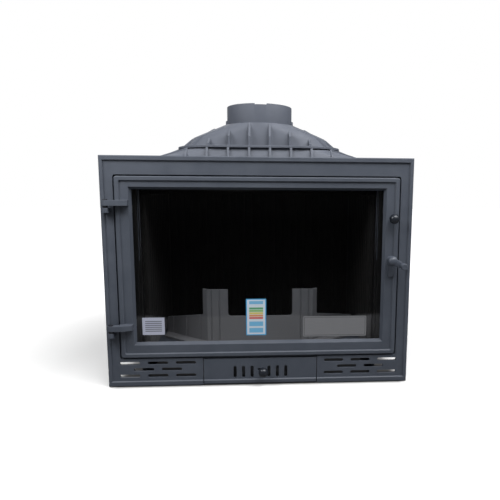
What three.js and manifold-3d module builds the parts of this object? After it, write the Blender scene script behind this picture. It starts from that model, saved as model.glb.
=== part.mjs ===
// A cast-iron fireplace insert, in millimetres, +Z up, with its face towards -Y.
// Inside the insert group, x runs to the right, y runs back from the face of the front frame,
// and z runs up from the frame's lower edge. The group then puts the origin on the flue axis,
// at the level of the hearth.
import * as THREE from "three";
import { mergeVertices } from "three/addons/utils/BufferGeometryUtils.js";
import { ConvexGeometry } from "three/addons/geometries/ConvexGeometry.js";
import Module from "manifold-3d";

const wasm = await Module();
wasm.setup();

// ---- Driving dimensions ----------------------------------------------------------------

const GAP = 0.3; // between two pieces that touch
const BITE = 1; // how far two features of one casting run into each other
const ROUND = 2; // half the steps in each small arc of an outline
const FINE_ROUND = 5; // the same, for the outlines of hinges, latch pad and lever
const SLOT_END = 0.999; // share of a slot's half width that its round ends take
const BAR_SIDES = 24; // faces round a pin, a boss or a turned knob
const SCREW_SIDES = 12; // faces round a screw and its hole
const BOLT_HOLE_SIDES = 14;
const HEXAGON = 6;
const KNOB_STEPS = 10; // steps down the side of a ball knob
const HOOD_CORNER_STEPS = 4;
const FLUE_SIDES = 48;

// Front frame
const FRAME_WIDTH = 760;
const FRAME_HEIGHT = 572;
const FRAME_THICKNESS = 8;
const FRAME_BEAD_SIDE = 9.5;
const FRAME_BEAD_TOP = 12.4;
const FRAME_BEAD_BOTTOM = 13.5;
const BEAD_HEIGHT = 4;
const BEAD_ROUND = 2;
const FRAME_SIDE = 30;
const FRAME_HEAD = 44.8;
const OPENING_BOTTOM = 70.8;
const OPENING_CORNER = 6;
const RECESS_WALL = 6.8;
const LEDGE_DEPTH = 24;
const LEDGE_THICKNESS = 8;
const LEDGE_SIDE = 48;
const LEDGE_BOTTOM = 25.2;
const LEDGE_TOP = 25.2;

// Air grilles low in the frame
const GRILLE_SLOTS = 3;
const GRILLE_SLOT_HEIGHT = 8;
const GRILLE_MARGIN = 17.8;
const GRILLE_BRIDGE = 19;
const GRILLE_LOW_ROW = 26;
const GRILLE_ROW_STEP = 16.5;
const GRILLE_ROWS = 3;

// Body behind the frame
const BODY_INSET = 46;
const BODY_BACK = 400;
const BODY_TOP_DROP = 16;
const WALL = 8;
const FLANGE_REACH = 14;
const FLANGE_THICKNESS = 6;
const RIB_PITCH = 52;
const RIB_THICKNESS = 5;
const RIB_REACH = 9;

// Hearth casting and ash box
const FRAME_LIFT = 2;
const HEARTH_TOP = 72;
const HEARTH_THICKNESS = 10;
const GRATE_WIDTH = 290;
const GRATE_LENGTH = 180;
const GRATE_FROM_BACK = 80;
const GRATE_THICKNESS = 9;
const GRATE_SEAT = 9;
const GRATE_SLOT_WIDTH = 11;
const GRATE_SLOTS = 9;
const BACK_VENT_WIDTH = 360;
const BACK_VENT_HEIGHT = 34;
const ASH_BOX_WIDTH = 280;
const ASH_BOX_FRONT = 34;
const ASH_BOX_FROM_BACK = 48;
const ASH_BOX_LIP = 8;
const SHEET = 2;

// Hood and flue collar
const FLUE_FROM_BACK = 195;
const RIM_REACH = 16;
const RIM_THICKNESS = 8;
const HOOD_FOOT_FRONT = 30;
const HOOD_FOOT_CORNER = 60;
const HOOD_WAIST_SIDE_INSET = 97;
const HOOD_WAIST_HEIGHT = 40;
const HOOD_WAIST_INSET = 16;
const HOOD_WAIST_CORNER = 105;
const HOOD_SHOULDER_INSET = 47;
const HOOD_SHOULDER_SIDE_INSET = 3;
const HOOD_SHOULDER_CORNER = 95;
const HOOD_BROW_HALF = 180;
const HOOD_BROW_INSET = 6;
const HOOD_BROW_CORNER = 97;
const HOOD_BROW_DROP = 34;
const HOOD_HEIGHT = 104;
const HOOD_CROWN_RADIUS = 100;
const HOOD_WALL = 8;
const HOOD_RIB_REACH = 8;
const HOOD_RIB_THICKNESS = 6;
const HOOD_RING_THICKNESS = 6;
const FIN_SETBACK = 29;
// A front fin's knee height, and the distance from the flue and the height of its end,
// for each fin from the middle outwards. Heights are above the hood's waist.
const FRONT_FINS = [
  [32, 98, 69],
  [32, 80, 52],
  [14, 82, 30],
];
// A side fin's edge as distances from the flue and heights above the waist.
const SIDE_FINS = [
  [[211, 9], [206, 13], [183, 32], [153, 44], [124, 60], [102, 60]],
  [[184, 9], [176, 17], [160, 32], [134, 43], [104, 54], [78, 58]],
];
const FLUE_BORE_RADIUS = 70;
const COLLAR_RADIUS = 89;
const COLLAR_WALL = 6;
const COLLAR_HEIGHT = 56;
const COLLAR_LUG_REACH = 4;
const COLLAR_LUG_HEIGHT = 18;
const COLLAR_LUG_WIDTH = 44;
const COLLAR_FLANGE_THICKNESS = 6;
const COLLAR_NOTCH_WIDTH = 31;
const COLLAR_NOTCH_SHIFT = 3;
const COLLAR_NOTCH_DEPTH = 3;

// Fire chamber
const LINER_THICKNESS = 12;
const SMOKE_ROOM = 75.7;
const LINER_FRONT = 46;
const FLUTE_PITCH = 24;
const FLUTE_DEPTH = 3;
const BAFFLE_THICKNESS = 8;
const BAFFLE_LENGTH = 241.7;
const GUARD_CENTRE_HALF = 145;
const GUARD_FRONT = 118;
const GUARD_WING_ANGLE = 39;
const GUARD_SIDE_ROOM = 24;
const GUARD_THICKNESS = 9;
const GUARD_FOOT_REACH = 34;
const GUARD_FOOT_THICKNESS = 6;
const GUARD_HEIGHT = 75;
const GUARD_WING_DROP = 26;
const GUARD_HORN_HEIGHT = 150;
const GUARD_HORN_CENTRE = 123;
const GUARD_HORN_WIDTH = 69;
const GUARD_HORN_FILLET = 8;
const GUARD_FLUTE_DEPTH = 2.5;
const GUARD_WING_FLUTES = 3;
const GUARD_HORN_FLUTES = 2;
const GUARD_HORN_FLUTE_PITCH = 22;

// Door
const DOOR_GAP = 3.4;
const DOOR_THICKNESS = 10;
const DOOR_BEAD = 11.5;
const DOOR_BEAD_CORNER = 3;
const DOOR_FIELD = 20.3;
const DOOR_TOP_FIELD = 14;
const REVEAL = 6;
const SEAL_RIM_DEPTH = 8;
const SEAL_RIM_WIDTH = 11.6;
const SEAL_RIM_LIP = 2.7;
const SEAL_GROOVE_WIDTH = 6.6;
const SEAL_GROOVE_DEPTH = 4;
const GLASS_THICKNESS = 4;
const GLASS_OVERLAP = 8;
const CLIP_INSET = 54;
const CLIP_WIDTH = 18;
const CLIP_STRAP = 1.8;
const CLIP_HOLD = 7;
const CLIP_OFFSET = 6.5;
const CLIP_SCREW_RADIUS = 1.9;
const CLIP_SCREW_HEAD_RADIUS = 3.5;
const CLIP_SCREW_HEAD_HEIGHT = 2.5;
const CLIP_SCREW_BITE = 5.5;

// Hinges, on the left
const HINGE_RISE = 57.3;
const HINGE_DROP = 86.8;
const HINGE_OUTSET = 14.5;
const HINGE_FORWARD = 17;
const HINGE_RADIUS = 8;
const LUG_HEIGHT = 11.3;
const WASHER_HEIGHT = 4.9;
const ARM_HEIGHT = 13;
const ARM_REACH = 51;
const PIN_RADIUS = 4;
const PIN_HEAD_RADIUS = 6;
const PIN_HEAD_HEIGHT = 2.5;

// Latch and pull knob, on the right
const LATCH_INSET = 17.2;
const LATCH_RISE = 20;
const PAD_RADIUS = 10.5;
const PAD_TAIL_DROP = 36;
const PAD_TAIL_RADIUS = 7;
const PAD_HEIGHT = 5;
const SPINDLE_RADIUS = 4;
const SPINDLE_NECK_RADIUS = 3;
const HUB_RADIUS = 12.5;
const HUB_HEIGHT = 27;
const HUB_NECK_RADIUS = 8;
const HUB_NECK_HEIGHT = 8;
const HUB_CROWN = [0.55, 1.4];
const HUB_SHOULDER = [0.9, 5];
const HUB_CROWN_HEIGHT = 9;
const HUB_CHAMFER = 3;
const LEVER_SINK = 2;
const LEVER_LENGTH = 25.7;
const LEVER_ANGLE = -25.4;
const LEVER_THICKNESS = 11;
const LEVER_ROOT_RADIUS = 9;
const LEVER_TIP_RADIUS = 7;
const GRIP_RADIUS = 8;
const GRIP_LENGTH = 19;
const GRIP_ROUND = 1.4;
const GRIP_STUD_RADIUS = 3;
const GRIP_STUD_LENGTH = 14;
const TONGUE_LENGTH = 22;
const TONGUE_WIDTH = 8;
const TONGUE_EYE_RADIUS = 5.6;
const TONGUE_THICKNESS = 4;
const NUT_RADIUS = 5.4;
const NUT_HEIGHT = 4.2;
const KEEPER_CLEARANCE = 1.7;
const KEEPER_WALL = 3;
const KEEPER_DEPTH = 14;
const PULL_INSET = 16.2;
const PULL_RISE = 105;
const PULL_RADIUS = 12.5;
const PULL_REACH = 20;
const PULL_NECK_RADIUS = 5;
const PULL_STUD_RADIUS = 3;
const PULL_STUD_LENGTH = 7.5;

// Ash drawer with its air slide
const DRAWER_WIDTH = 287.4;
const DRAWER_BOTTOM = 2;
const DRAWER_TOP = 67.5;
const DRAWER_GAP = 1.7;
const AIR_SLOT_COUNT = 6;
const AIR_SLOT_PITCH = 21.6;
const AIR_SLOT_WIDTH = 8;
const AIR_SLOT_HEIGHT = 32;
const AIR_SLOT_CENTRE = 31.5;
const AIR_SLIDE_WIDTH = 160;
const AIR_SLIDE_THICKNESS = 3;
const AIR_SLIDE_MARGIN = 5;
const AIR_SLIDE_TRAVEL = 10.8;
const AIR_KNOB_X = 7;
const AIR_KNOB_HEIGHT = 38;
const AIR_KNOB_RADIUS = 12.5;
const AIR_KNOB_REACH = 24;
const AIR_STEM_RADIUS = 2.5;
const GUIDE_LENGTH = 192;
const GUIDE_BACK = 5;
const GUIDE_LIP = 4;
const GUIDE_LIP_THICKNESS = 1.6;
const PAN_SIDE = 9.7;
const PAN_FROM_BACK = 17;
const PAN_HEIGHT = 50;
const PAN_SHEET = 1.5;
const DRAWER_BOSS_INSET = 28.7;
const DRAWER_BOSS_HEIGHT = 30;
const DRAWER_BOSS_RADIUS = 6;
const DRAWER_SCREW_RADIUS = 2;
const DRAWER_SCREW_HEAD_RADIUS = 4;
const DRAWER_SCREW_HEAD_HEIGHT = 2.4;

// Bolts that hold the castings together
const BOLT_RADIUS = 3;
const BOLT_HEAD_RADIUS = 5.8;
const BOLT_HEAD_HEIGHT = 4;
const FRAME_BOLT_RISE = 58;
const FRAME_BOLT_DROP = 76;
const FRAME_BOLT_BITE = 6;
const SIDE_BOLT_FROM_FRONT = 68.7;
const SIDE_BOLT_FROM_BACK = 91;
const BOLT_TAIL = 2;
const COLLAR_BOLT_COUNT = 4;

// ---- Sizes that follow from them -------------------------------------------------------

const HALF_FRAME = FRAME_WIDTH / 2;
const HALF_OPENING = HALF_FRAME - FRAME_SIDE;
const OPENING_TOP = FRAME_HEIGHT - FRAME_HEAD;
const LEDGE_BACK = LEDGE_DEPTH + LEDGE_THICKNESS;
const HALF_BODY = HALF_OPENING - BODY_INSET;
const BODY_TOP = FRAME_HEIGHT - BODY_TOP_DROP;
const BODY_FRONT = LEDGE_BACK + GAP;
const INNER_HALF = HALF_BODY - WALL;
const FLANGE_EDGE = HALF_BODY + FLANGE_REACH;
const BOLT_X = HALF_BODY + FLANGE_REACH / 2;
const HEARTH_BOTTOM = HEARTH_TOP - HEARTH_THICKNESS;
const WALL_BOTTOM = HEARTH_TOP + GAP;
const LINER_TOP = BODY_TOP - SMOKE_ROOM;
const FLUE_SETBACK = BODY_BACK - FLUE_FROM_BACK;
const GRATE_CENTRE_Y = BODY_BACK - GRATE_FROM_BACK - GRATE_LENGTH / 2;
const ASH_BOX_BACK = BODY_BACK - ASH_BOX_FROM_BACK;
const FRAME_BOLT_HEIGHTS = [HEARTH_TOP + FRAME_BOLT_RISE, BODY_TOP - FRAME_BOLT_DROP];
const SIDE_BOLT_DEPTHS = [BODY_FRONT + SIDE_BOLT_FROM_FRONT, BODY_BACK - SIDE_BOLT_FROM_BACK];
const HOOD_BOTTOM = BODY_TOP + GAP;
const RIM_TOP = HOOD_BOTTOM + RIM_THICKNESS;
const HOOD_TOP = HOOD_BOTTOM + HOOD_HEIGHT;

const DOOR_HALF = HALF_OPENING - DOOR_GAP;
const DOOR_BOTTOM = OPENING_BOTTOM + DOOR_GAP;
const DOOR_TOP = OPENING_TOP - DOOR_GAP;
const WINDOW_HALF = DOOR_HALF - DOOR_BEAD - DOOR_FIELD;
const WINDOW_BOTTOM = DOOR_BOTTOM + DOOR_BEAD + DOOR_FIELD;
const WINDOW_TOP = DOOR_TOP - DOOR_BEAD - DOOR_TOP_FIELD;
const DOOR_BACK = DOOR_THICKNESS + SEAL_RIM_DEPTH;
const GLASS_FRONT = DOOR_THICKNESS + GAP;
const GLASS_BACK = GLASS_FRONT + GLASS_THICKNESS;
const GLASS_EDGE = GLASS_OVERLAP - REVEAL;
const PIN_X = -HALF_OPENING - HINGE_OUTSET;
const PIN_Y = -HINGE_FORWARD;
const HINGE_HEIGHTS = [DOOR_BOTTOM + HINGE_RISE, DOOR_TOP - HINGE_DROP];
const CLIP_HEIGHTS = [WINDOW_BOTTOM + CLIP_INSET, WINDOW_TOP - CLIP_INSET];
const LATCH_X = DOOR_HALF - LATCH_INSET;
const LATCH_HEIGHT = (DOOR_BOTTOM + DOOR_TOP) / 2 + LATCH_RISE;
const PULL_HEIGHT = LATCH_HEIGHT + PULL_RISE;
const TONGUE_FRONT = LEDGE_BACK + 2 * GAP;
const TONGUE_BACK = TONGUE_FRONT + TONGUE_THICKNESS;
const LEVER_BACK = -(PAD_HEIGHT + GAP + HUB_HEIGHT - LEVER_THICKNESS - LEVER_SINK);
const LEVER_FRONT = LEVER_BACK - LEVER_THICKNESS;
const GRIP_X = LATCH_X + LEVER_LENGTH * Math.cos(THREE.MathUtils.degToRad(LEVER_ANGLE));
const GRIP_Z = LATCH_HEIGHT + LEVER_LENGTH * Math.sin(THREE.MathUtils.degToRad(LEVER_ANGLE));

const DRAWER_HALF = DRAWER_WIDTH / 2;
const NOTCH_HALF = DRAWER_HALF + DRAWER_GAP;
const DRAWER_BOSS_X = DRAWER_HALF - DRAWER_BOSS_INSET;
const PAN_WIDTH = DRAWER_WIDTH - 2 * PAN_SIDE;
const PAN_BACK = ASH_BOX_BACK - PAN_FROM_BACK;
const SLIDE_FRONT = FRAME_THICKNESS + GAP;
const SLIDE_BACK = SLIDE_FRONT + AIR_SLIDE_THICKNESS;
const SLIDE_BOTTOM = AIR_SLOT_CENTRE - AIR_SLOT_HEIGHT / 2 - AIR_SLIDE_MARGIN;
const SLIDE_TOP = AIR_SLOT_CENTRE + AIR_SLOT_HEIGHT / 2 + AIR_SLIDE_MARGIN;
const GUIDE_REAR = SLIDE_BACK + GAP + GUIDE_LIP_THICKNESS;
const PAN_FRONT = GUIDE_REAR + 2 * GAP;
const PAN_BOTTOM = -FRAME_LIFT + SHEET + GAP;

// ---- Materials -------------------------------------------------------------------------

const paint = (color, roughness, metalness) => () =>
  new THREE.MeshStandardMaterial({ color, roughness, metalness });
const paintedIron = paint(0x4b4f59, 0.55, 0.35);
const hoodIron = paint(0x5d626e, 0.6, 0.35);
const sootyIron = paint(0x35363a, 0.85, 0.2);
const darkSteel = paint(0x2b2d31, 0.4, 0.7);
const zincSteel = paint(0x8d9096, 0.35, 0.85);
const sheetSteel = paint(0x3a3c40, 0.5, 0.6);
const ropeGrey = paint(0x5a5752, 0.95, 0);
const knobIron = paint(0x33363d, 0.35, 0.5);
const ceramicGlass = () =>
  new THREE.MeshStandardMaterial({
    color: 0x1a1c1f,
    roughness: 0.05,
    metalness: 0,
    transparent: true,
    opacity: 0.35,
  });

// ---- Helpers ---------------------------------------------------------------------------

// A closed geometry as a solid that can be joined and cut.
function solid(geometry) {
  const bare = geometry.clone();
  bare.deleteAttribute("normal");
  bare.deleteAttribute("uv");
  const merged = mergeVertices(bare, 1e-4);
  const triVerts = new Uint32Array(merged.index.array);
  return new wasm.Manifold(
    new wasm.Mesh({ numProp: 3, vertProperties: merged.attributes.position.array, triVerts })
  );
}

// A solid's surface as a geometry again.
function surface(body) {
  const mesh = body.getMesh();
  const geometry = new THREE.BufferGeometry();
  geometry.setAttribute("position", new THREE.BufferAttribute(mesh.vertProperties, 3));
  geometry.setIndex(new THREE.BufferAttribute(mesh.triVerts, 1));
  const flat = geometry.toNonIndexed();
  flat.computeVertexNormals();
  return flat;
}

const join = (...bodies) => bodies.reduce((sum, body) => sum.add(body));
const cut = (body, ...tools) => tools.reduce((rest, tool) => rest.subtract(tool), body);

// A box between two corners.
function block(x0, x1, y0, y1, z0, z1) {
  const geometry = new THREE.BoxGeometry(x1 - x0, y1 - y0, z1 - z0);
  return solid(geometry.translate((x0 + x1) / 2, (y0 + y1) / 2, (z0 + z1) / 2));
}

// A rectangle with rounded corners, in the plane of a front view or a plan.
function rectangle(x0, x1, v0, v1, radius = 0, path = new THREE.Shape()) {
  if (radius <= 0) {
    return path.moveTo(x0, v0).lineTo(x1, v0).lineTo(x1, v1).lineTo(x0, v1).closePath();
  }
  const quarter = Math.PI / 2;
  path.moveTo(x0 + radius, v0);
  path.absarc(x1 - radius, v0 + radius, radius, -quarter, 0);
  path.absarc(x1 - radius, v1 - radius, radius, 0, quarter);
  path.absarc(x0 + radius, v1 - radius, radius, quarter, 2 * quarter);
  path.absarc(x0 + radius, v0 + radius, radius, 2 * quarter, 3 * quarter);
  return path;
}

function ring(outer, ...holes) {
  outer.holes.push(...holes);
  return outer;
}

// An outline of the front view, extruded from y0 back to y1, with rounded edges if asked.
function frontPlate(shape, y0, y1, edge = 0, steps = ROUND) {
  const geometry = new THREE.ExtrudeGeometry(shape, {
    depth: y1 - y0 - 2 * edge,
    curveSegments: steps,
    bevelEnabled: edge > 0,
    bevelThickness: edge,
    bevelSize: edge,
    bevelOffset: -edge,
    bevelSegments: 1,
  });
  return solid(geometry.rotateX(Math.PI / 2).translate(0, y1 - edge, 0));
}

// An outline of the plan, extruded from z0 up to z1.
function planPlate(shape, z0, z1, steps = ROUND) {
  const geometry = new THREE.ExtrudeGeometry(shape, {
    depth: z1 - z0,
    curveSegments: steps,
    bevelEnabled: false,
  });
  return solid(geometry.translate(0, 0, z0));
}

// A round bar along Y from y0 back to y1, and one along Z from z0 up to z1.
function barY(radius, x, y0, y1, z, sides = BAR_SIDES) {
  const geometry = new THREE.CylinderGeometry(radius, radius, y1 - y0, sides);
  return solid(geometry.translate(x, (y0 + y1) / 2, z));
}

function barZ(radius, x, y, z0, z1, sides = BAR_SIDES) {
  const geometry = new THREE.CylinderGeometry(radius, radius, z1 - z0, sides);
  return solid(geometry.rotateX(Math.PI / 2).translate(x, y, (z0 + z1) / 2));
}

// A turned piece: a profile of [radius, height] points, from low to high, about the Y axis.
function turned(profile, sides = BAR_SIDES) {
  const points = profile.map(([radius, height]) => new THREE.Vector2(radius, height));
  return solid(new THREE.LatheGeometry(points, sides));
}

// The outline of a bar with two round ends of their own radius.
function taperedBar(x0, z0, r0, x1, z1, r1) {
  const along = Math.atan2(z1 - z0, x1 - x0);
  const lean = Math.acos((r0 - r1) / Math.hypot(x1 - x0, z1 - z0));
  const shape = new THREE.Shape();
  shape.absarc(x0, z0, r0, along + lean, along - lean + 2 * Math.PI);
  shape.absarc(x1, z1, r1, along - lean, along + lean);
  return shape;
}

// A hole with round ends: length along x or along z, whichever is greater.
function slot(x, z, width, height) {
  const radius = Math.min(width, height) / 2;
  return rectangle(
    x - width / 2,
    x + width / 2,
    z - height / 2,
    z + height / 2,
    radius * SLOT_END
  );
}

function piece(name, body, material, position) {
  const mesh = new THREE.Mesh(surface(body), material());
  mesh.name = name;
  if (position) mesh.position.set(...position);
  return mesh;
}

const mirrored = (body) => body.mirror([1, 0, 0]);

// ---- Front frame -----------------------------------------------------------------------

function grilleSlots() {
  const holes = [];
  const start = NOTCH_HALF + GRILLE_MARGIN;
  const end = HALF_FRAME - FRAME_BEAD_SIDE - GRILLE_MARGIN;
  const length = (end - start - (GRILLE_SLOTS - 1) * GRILLE_BRIDGE) / GRILLE_SLOTS;
  const pitch = length + GRILLE_BRIDGE;
  for (let row = 0; row < GRILLE_ROWS; row++) {
    const short = row % 2;
    for (let i = 0; i < GRILLE_SLOTS - short; i++) {
      const x = start + length / 2 + (i + short / 2) * pitch;
      const z = GRILLE_LOW_ROW + row * GRILLE_ROW_STEP;
      holes.push(slot(x, z, length, GRILLE_SLOT_HEIGHT));
      holes.push(slot(-x, z, length, GRILLE_SLOT_HEIGHT));
    }
  }
  return holes;
}

// The pocket behind the ledge, in which the tongue turns.
function keeperPocket() {
  const sweep = Math.hypot(TONGUE_LENGTH, TONGUE_WIDTH / 2) + KEEPER_CLEARANCE;
  const x0 = LATCH_X - TONGUE_EYE_RADIUS - KEEPER_CLEARANCE;
  const x1 = LATCH_X + sweep;
  const z0 = LATCH_HEIGHT - TONGUE_EYE_RADIUS - KEEPER_CLEARANCE;
  const z1 = LATCH_HEIGHT + sweep;
  const back = LEDGE_BACK + KEEPER_DEPTH;
  const w = KEEPER_WALL;
  const shell = block(x0 - w, x1 + w, LEDGE_BACK - BITE, back + w, z0 - w, z1 + w);
  const room = block(x0, x1, LEDGE_BACK, back, z0, z1);
  const slotEdge = LATCH_X + TONGUE_EYE_RADIUS + KEEPER_CLEARANCE;
  const mouth = block(x0, slotEdge, LEDGE_DEPTH - BITE, LEDGE_BACK + BITE, z0, z1);
  return { shell, room, mouth };
}

function hingeLug(bottom) {
  const shape = new THREE.Shape();
  shape.moveTo(PIN_X + HINGE_RADIUS, BITE);
  shape.lineTo(PIN_X - HINGE_RADIUS, BITE);
  shape.absarc(PIN_X, PIN_Y, HINGE_RADIUS, Math.PI, 2 * Math.PI);
  const bore = barZ(PIN_RADIUS + GAP, PIN_X, PIN_Y, bottom - BITE, bottom + LUG_HEIGHT + BITE);
  return { lug: planPlate(shape, bottom, bottom + LUG_HEIGHT, FINE_ROUND), bore };
}

function frontFrame() {
  const half = HALF_FRAME;
  const doorway = () =>
    rectangle(-HALF_OPENING, HALF_OPENING, OPENING_BOTTOM, OPENING_TOP, OPENING_CORNER);
  const face = frontPlate(
    ring(rectangle(-half, half, 0, FRAME_HEIGHT), doorway(), ...grilleSlots()),
    0,
    FRAME_THICKNESS
  );
  const beadHole = rectangle(
    FRAME_BEAD_SIDE - half,
    half - FRAME_BEAD_SIDE,
    FRAME_BEAD_BOTTOM,
    FRAME_HEIGHT - FRAME_BEAD_TOP
  );
  const bead = frontPlate(
    ring(rectangle(-half, half, 0, FRAME_HEIGHT), beadHole),
    -BEAD_HEIGHT,
    FRAME_THICKNESS,
    BEAD_ROUND
  );
  const outer = HALF_OPENING + RECESS_WALL;
  const recess = frontPlate(
    ring(
      rectangle(-outer, outer, OPENING_BOTTOM - RECESS_WALL, OPENING_TOP + RECESS_WALL),
      doorway()
    ),
    FRAME_THICKNESS - BITE,
    LEDGE_BACK
  );
  const inner = HALF_OPENING - LEDGE_SIDE;
  const ledge = frontPlate(
    ring(
      rectangle(-outer, outer, OPENING_BOTTOM - RECESS_WALL, OPENING_TOP + RECESS_WALL),
      rectangle(-inner, inner, OPENING_BOTTOM + LEDGE_BOTTOM, OPENING_TOP - LEDGE_TOP)
    ),
    LEDGE_DEPTH,
    LEDGE_BACK
  );
  const header = block(-HALF_BODY, HALF_BODY, LEDGE_DEPTH, LEDGE_BACK, OPENING_TOP, BODY_TOP);
  const notch = block(
    -NOTCH_HALF,
    NOTCH_HALF,
    -BEAD_HEIGHT - BITE,
    FRAME_THICKNESS + GAP,
    -BITE,
    OPENING_BOTTOM + BITE
  );
  const keeper = keeperPocket();
  const lugs = HINGE_HEIGHTS.map(hingeLug);
  const boltHoles = [];
  for (const z of FRAME_BOLT_HEIGHTS) {
    for (const x of [-BOLT_X, BOLT_X]) {
      const depth = LEDGE_BACK - FRAME_BOLT_BITE - GAP;
      boltHoles.push(barY(BOLT_RADIUS + GAP, x, depth, LEDGE_BACK + BITE, z));
    }
  }
  const casting = join(face, bead, recess, ledge, header, keeper.shell, ...lugs.map((l) => l.lug));
  return cut(casting, notch, keeper.room, keeper.mouth, ...lugs.map((l) => l.bore), ...boltHoles);
}

// ---- Door ------------------------------------------------------------------------------

// A ring that follows the door's edge, from one inset to another.
function doorRing(from, to, y0, y1, corner = 0, edge = 0, innerCorner = 0) {
  const outline = (inset, radius) =>
    rectangle(
      inset - DOOR_HALF,
      DOOR_HALF - inset,
      DOOR_BOTTOM + inset,
      DOOR_TOP - inset,
      radius
    );
  return frontPlate(ring(outline(from, corner), outline(to, innerCorner)), y0, y1, edge);
}

function hingeArm(bottom) {
  const tip = PIN_X + ARM_REACH;
  const shape = new THREE.Shape();
  shape.moveTo(-DOOR_HALF + BITE, BITE);
  shape.lineTo(-DOOR_HALF, PIN_Y + HINGE_RADIUS);
  shape.lineTo(PIN_X, PIN_Y + HINGE_RADIUS);
  shape.absarc(PIN_X, PIN_Y, HINGE_RADIUS, Math.PI / 2, (3 * Math.PI) / 2);
  shape.lineTo(-DOOR_HALF + DOOR_BEAD, PIN_Y - HINGE_RADIUS);
  shape.lineTo(tip, PIN_Y);
  shape.lineTo(tip, BITE);
  const low = bottom + LUG_HEIGHT + 2 * GAP + WASHER_HEIGHT;
  const bore = barZ(PIN_RADIUS + GAP, PIN_X, PIN_Y, low - BITE, low + ARM_HEIGHT + BITE);
  return cut(planPlate(shape, low, low + ARM_HEIGHT, FINE_ROUND), bore);
}

function clipX() {
  return WINDOW_HALF + GLASS_EDGE + CLIP_OFFSET;
}

function doorFrame() {
  const glazing = rectangle(
    REVEAL - WINDOW_HALF,
    WINDOW_HALF - REVEAL,
    WINDOW_BOTTOM + REVEAL,
    WINDOW_TOP - REVEAL
  );
  const edge = rectangle(-DOOR_HALF, DOOR_HALF, DOOR_BOTTOM, DOOR_TOP, OPENING_CORNER);
  const leaf = frontPlate(ring(edge, glazing), 0, DOOR_THICKNESS);
  const bead = doorRing(
    0,
    DOOR_BEAD,
    -BEAD_HEIGHT,
    DOOR_THICKNESS,
    OPENING_CORNER,
    BEAD_ROUND,
    DOOR_BEAD_CORNER
  );
  const rimFront = DOOR_THICKNESS - BITE;
  const rim = doorRing(0, SEAL_RIM_WIDTH, rimFront, DOOR_BACK, OPENING_CORNER);
  const groove = doorRing(
    SEAL_RIM_LIP,
    SEAL_RIM_LIP + SEAL_GROOVE_WIDTH,
    DOOR_BACK - SEAL_GROOVE_DEPTH,
    DOOR_BACK + BITE
  );
  const pad = frontPlate(
    taperedBar(
      LATCH_X,
      LATCH_HEIGHT,
      PAD_RADIUS,
      LATCH_X,
      LATCH_HEIGHT - PAD_TAIL_DROP,
      PAD_TAIL_RADIUS
    ),
    -PAD_HEIGHT,
    BITE,
    0,
    FINE_ROUND
  );
  const bossRadius = LATCH_INSET - SEAL_RIM_LIP - SEAL_GROOVE_WIDTH - 2 * GAP;
  const boss = barY(bossRadius, LATCH_X, rimFront, DOOR_BACK, LATCH_HEIGHT);
  const spindleBore = barY(
    SPINDLE_RADIUS + GAP,
    LATCH_X,
    -PAD_HEIGHT - BITE,
    DOOR_BACK + BITE,
    LATCH_HEIGHT
  );
  const pullHole = barY(
    PULL_STUD_RADIUS + GAP,
    DOOR_HALF - PULL_INSET,
    -BEAD_HEIGHT - BITE,
    PULL_STUD_LENGTH + GAP,
    PULL_HEIGHT
  );
  const screwHoles = [];
  for (const z of CLIP_HEIGHTS) {
    for (const x of [-clipX(), clipX()]) {
      const depth = DOOR_THICKNESS - CLIP_SCREW_BITE - GAP;
      screwHoles.push(barY(CLIP_SCREW_RADIUS + GAP, x, depth, DOOR_THICKNESS + BITE, z, SCREW_SIDES));
    }
  }
  const casting = join(leaf, bead, rim, pad, boss, ...HINGE_HEIGHTS.map(hingeArm));
  return cut(casting, revealCutter(), groove, spindleBore, pullHole, ...screwHoles);
}

// The sloping reveal round the glass: a flat pyramid that narrows towards the back.
function revealCutter() {
  const corner = (inset, y) =>
    [-1, 1].flatMap((side) => [
      new THREE.Vector3(side * (WINDOW_HALF - inset), y, WINDOW_BOTTOM + inset),
      new THREE.Vector3(side * (WINDOW_HALF - inset), y, WINDOW_TOP - inset),
    ]);
  const slope = REVEAL / DOOR_THICKNESS;
  const front = corner(-slope * BITE, -BITE);
  const back = corner(REVEAL + slope * BITE, DOOR_THICKNESS + BITE);
  return solid(new ConvexGeometry([...front, ...back]));
}

function doorGlass() {
  return block(
    -WINDOW_HALF - GLASS_EDGE,
    WINDOW_HALF + GLASS_EDGE,
    GLASS_FRONT,
    GLASS_BACK,
    WINDOW_BOTTOM - GLASS_EDGE,
    WINDOW_TOP + GLASS_EDGE
  );
}

function ropeSeal() {
  return doorRing(
    SEAL_RIM_LIP + GAP,
    SEAL_RIM_LIP + SEAL_GROOVE_WIDTH - GAP,
    DOOR_BACK - SEAL_GROOVE_DEPTH + GAP,
    LEDGE_DEPTH - GAP
  );
}

// A clip in its own frame: screw axis along Y at x = 0, door's back at y = 0, glass towards -X.
function glassClip() {
  const strapFront = GAP + GLASS_THICKNESS + GAP;
  const strapBack = strapFront + CLIP_STRAP;
  const half = CLIP_WIDTH / 2;
  const foot = block(-half / 2, half / 2, GAP, strapBack, -half, half);
  const strap = block(-CLIP_OFFSET - CLIP_HOLD, half / 2, strapFront, strapBack, -half, half);
  const hole = barY(CLIP_SCREW_RADIUS + GAP, 0, 0, strapBack + BITE, 0, SCREW_SIDES);
  return cut(join(foot, strap), hole);
}

function clipScrew() {
  const seat = GAP + GLASS_THICKNESS + GAP + CLIP_STRAP + GAP;
  const shank = barY(CLIP_SCREW_RADIUS, 0, -CLIP_SCREW_BITE, seat + BITE, 0, SCREW_SIDES);
  const head = barY(CLIP_SCREW_HEAD_RADIUS, 0, seat, seat + CLIP_SCREW_HEAD_HEIGHT, 0, SCREW_SIDES);
  return join(shank, head);
}

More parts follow.
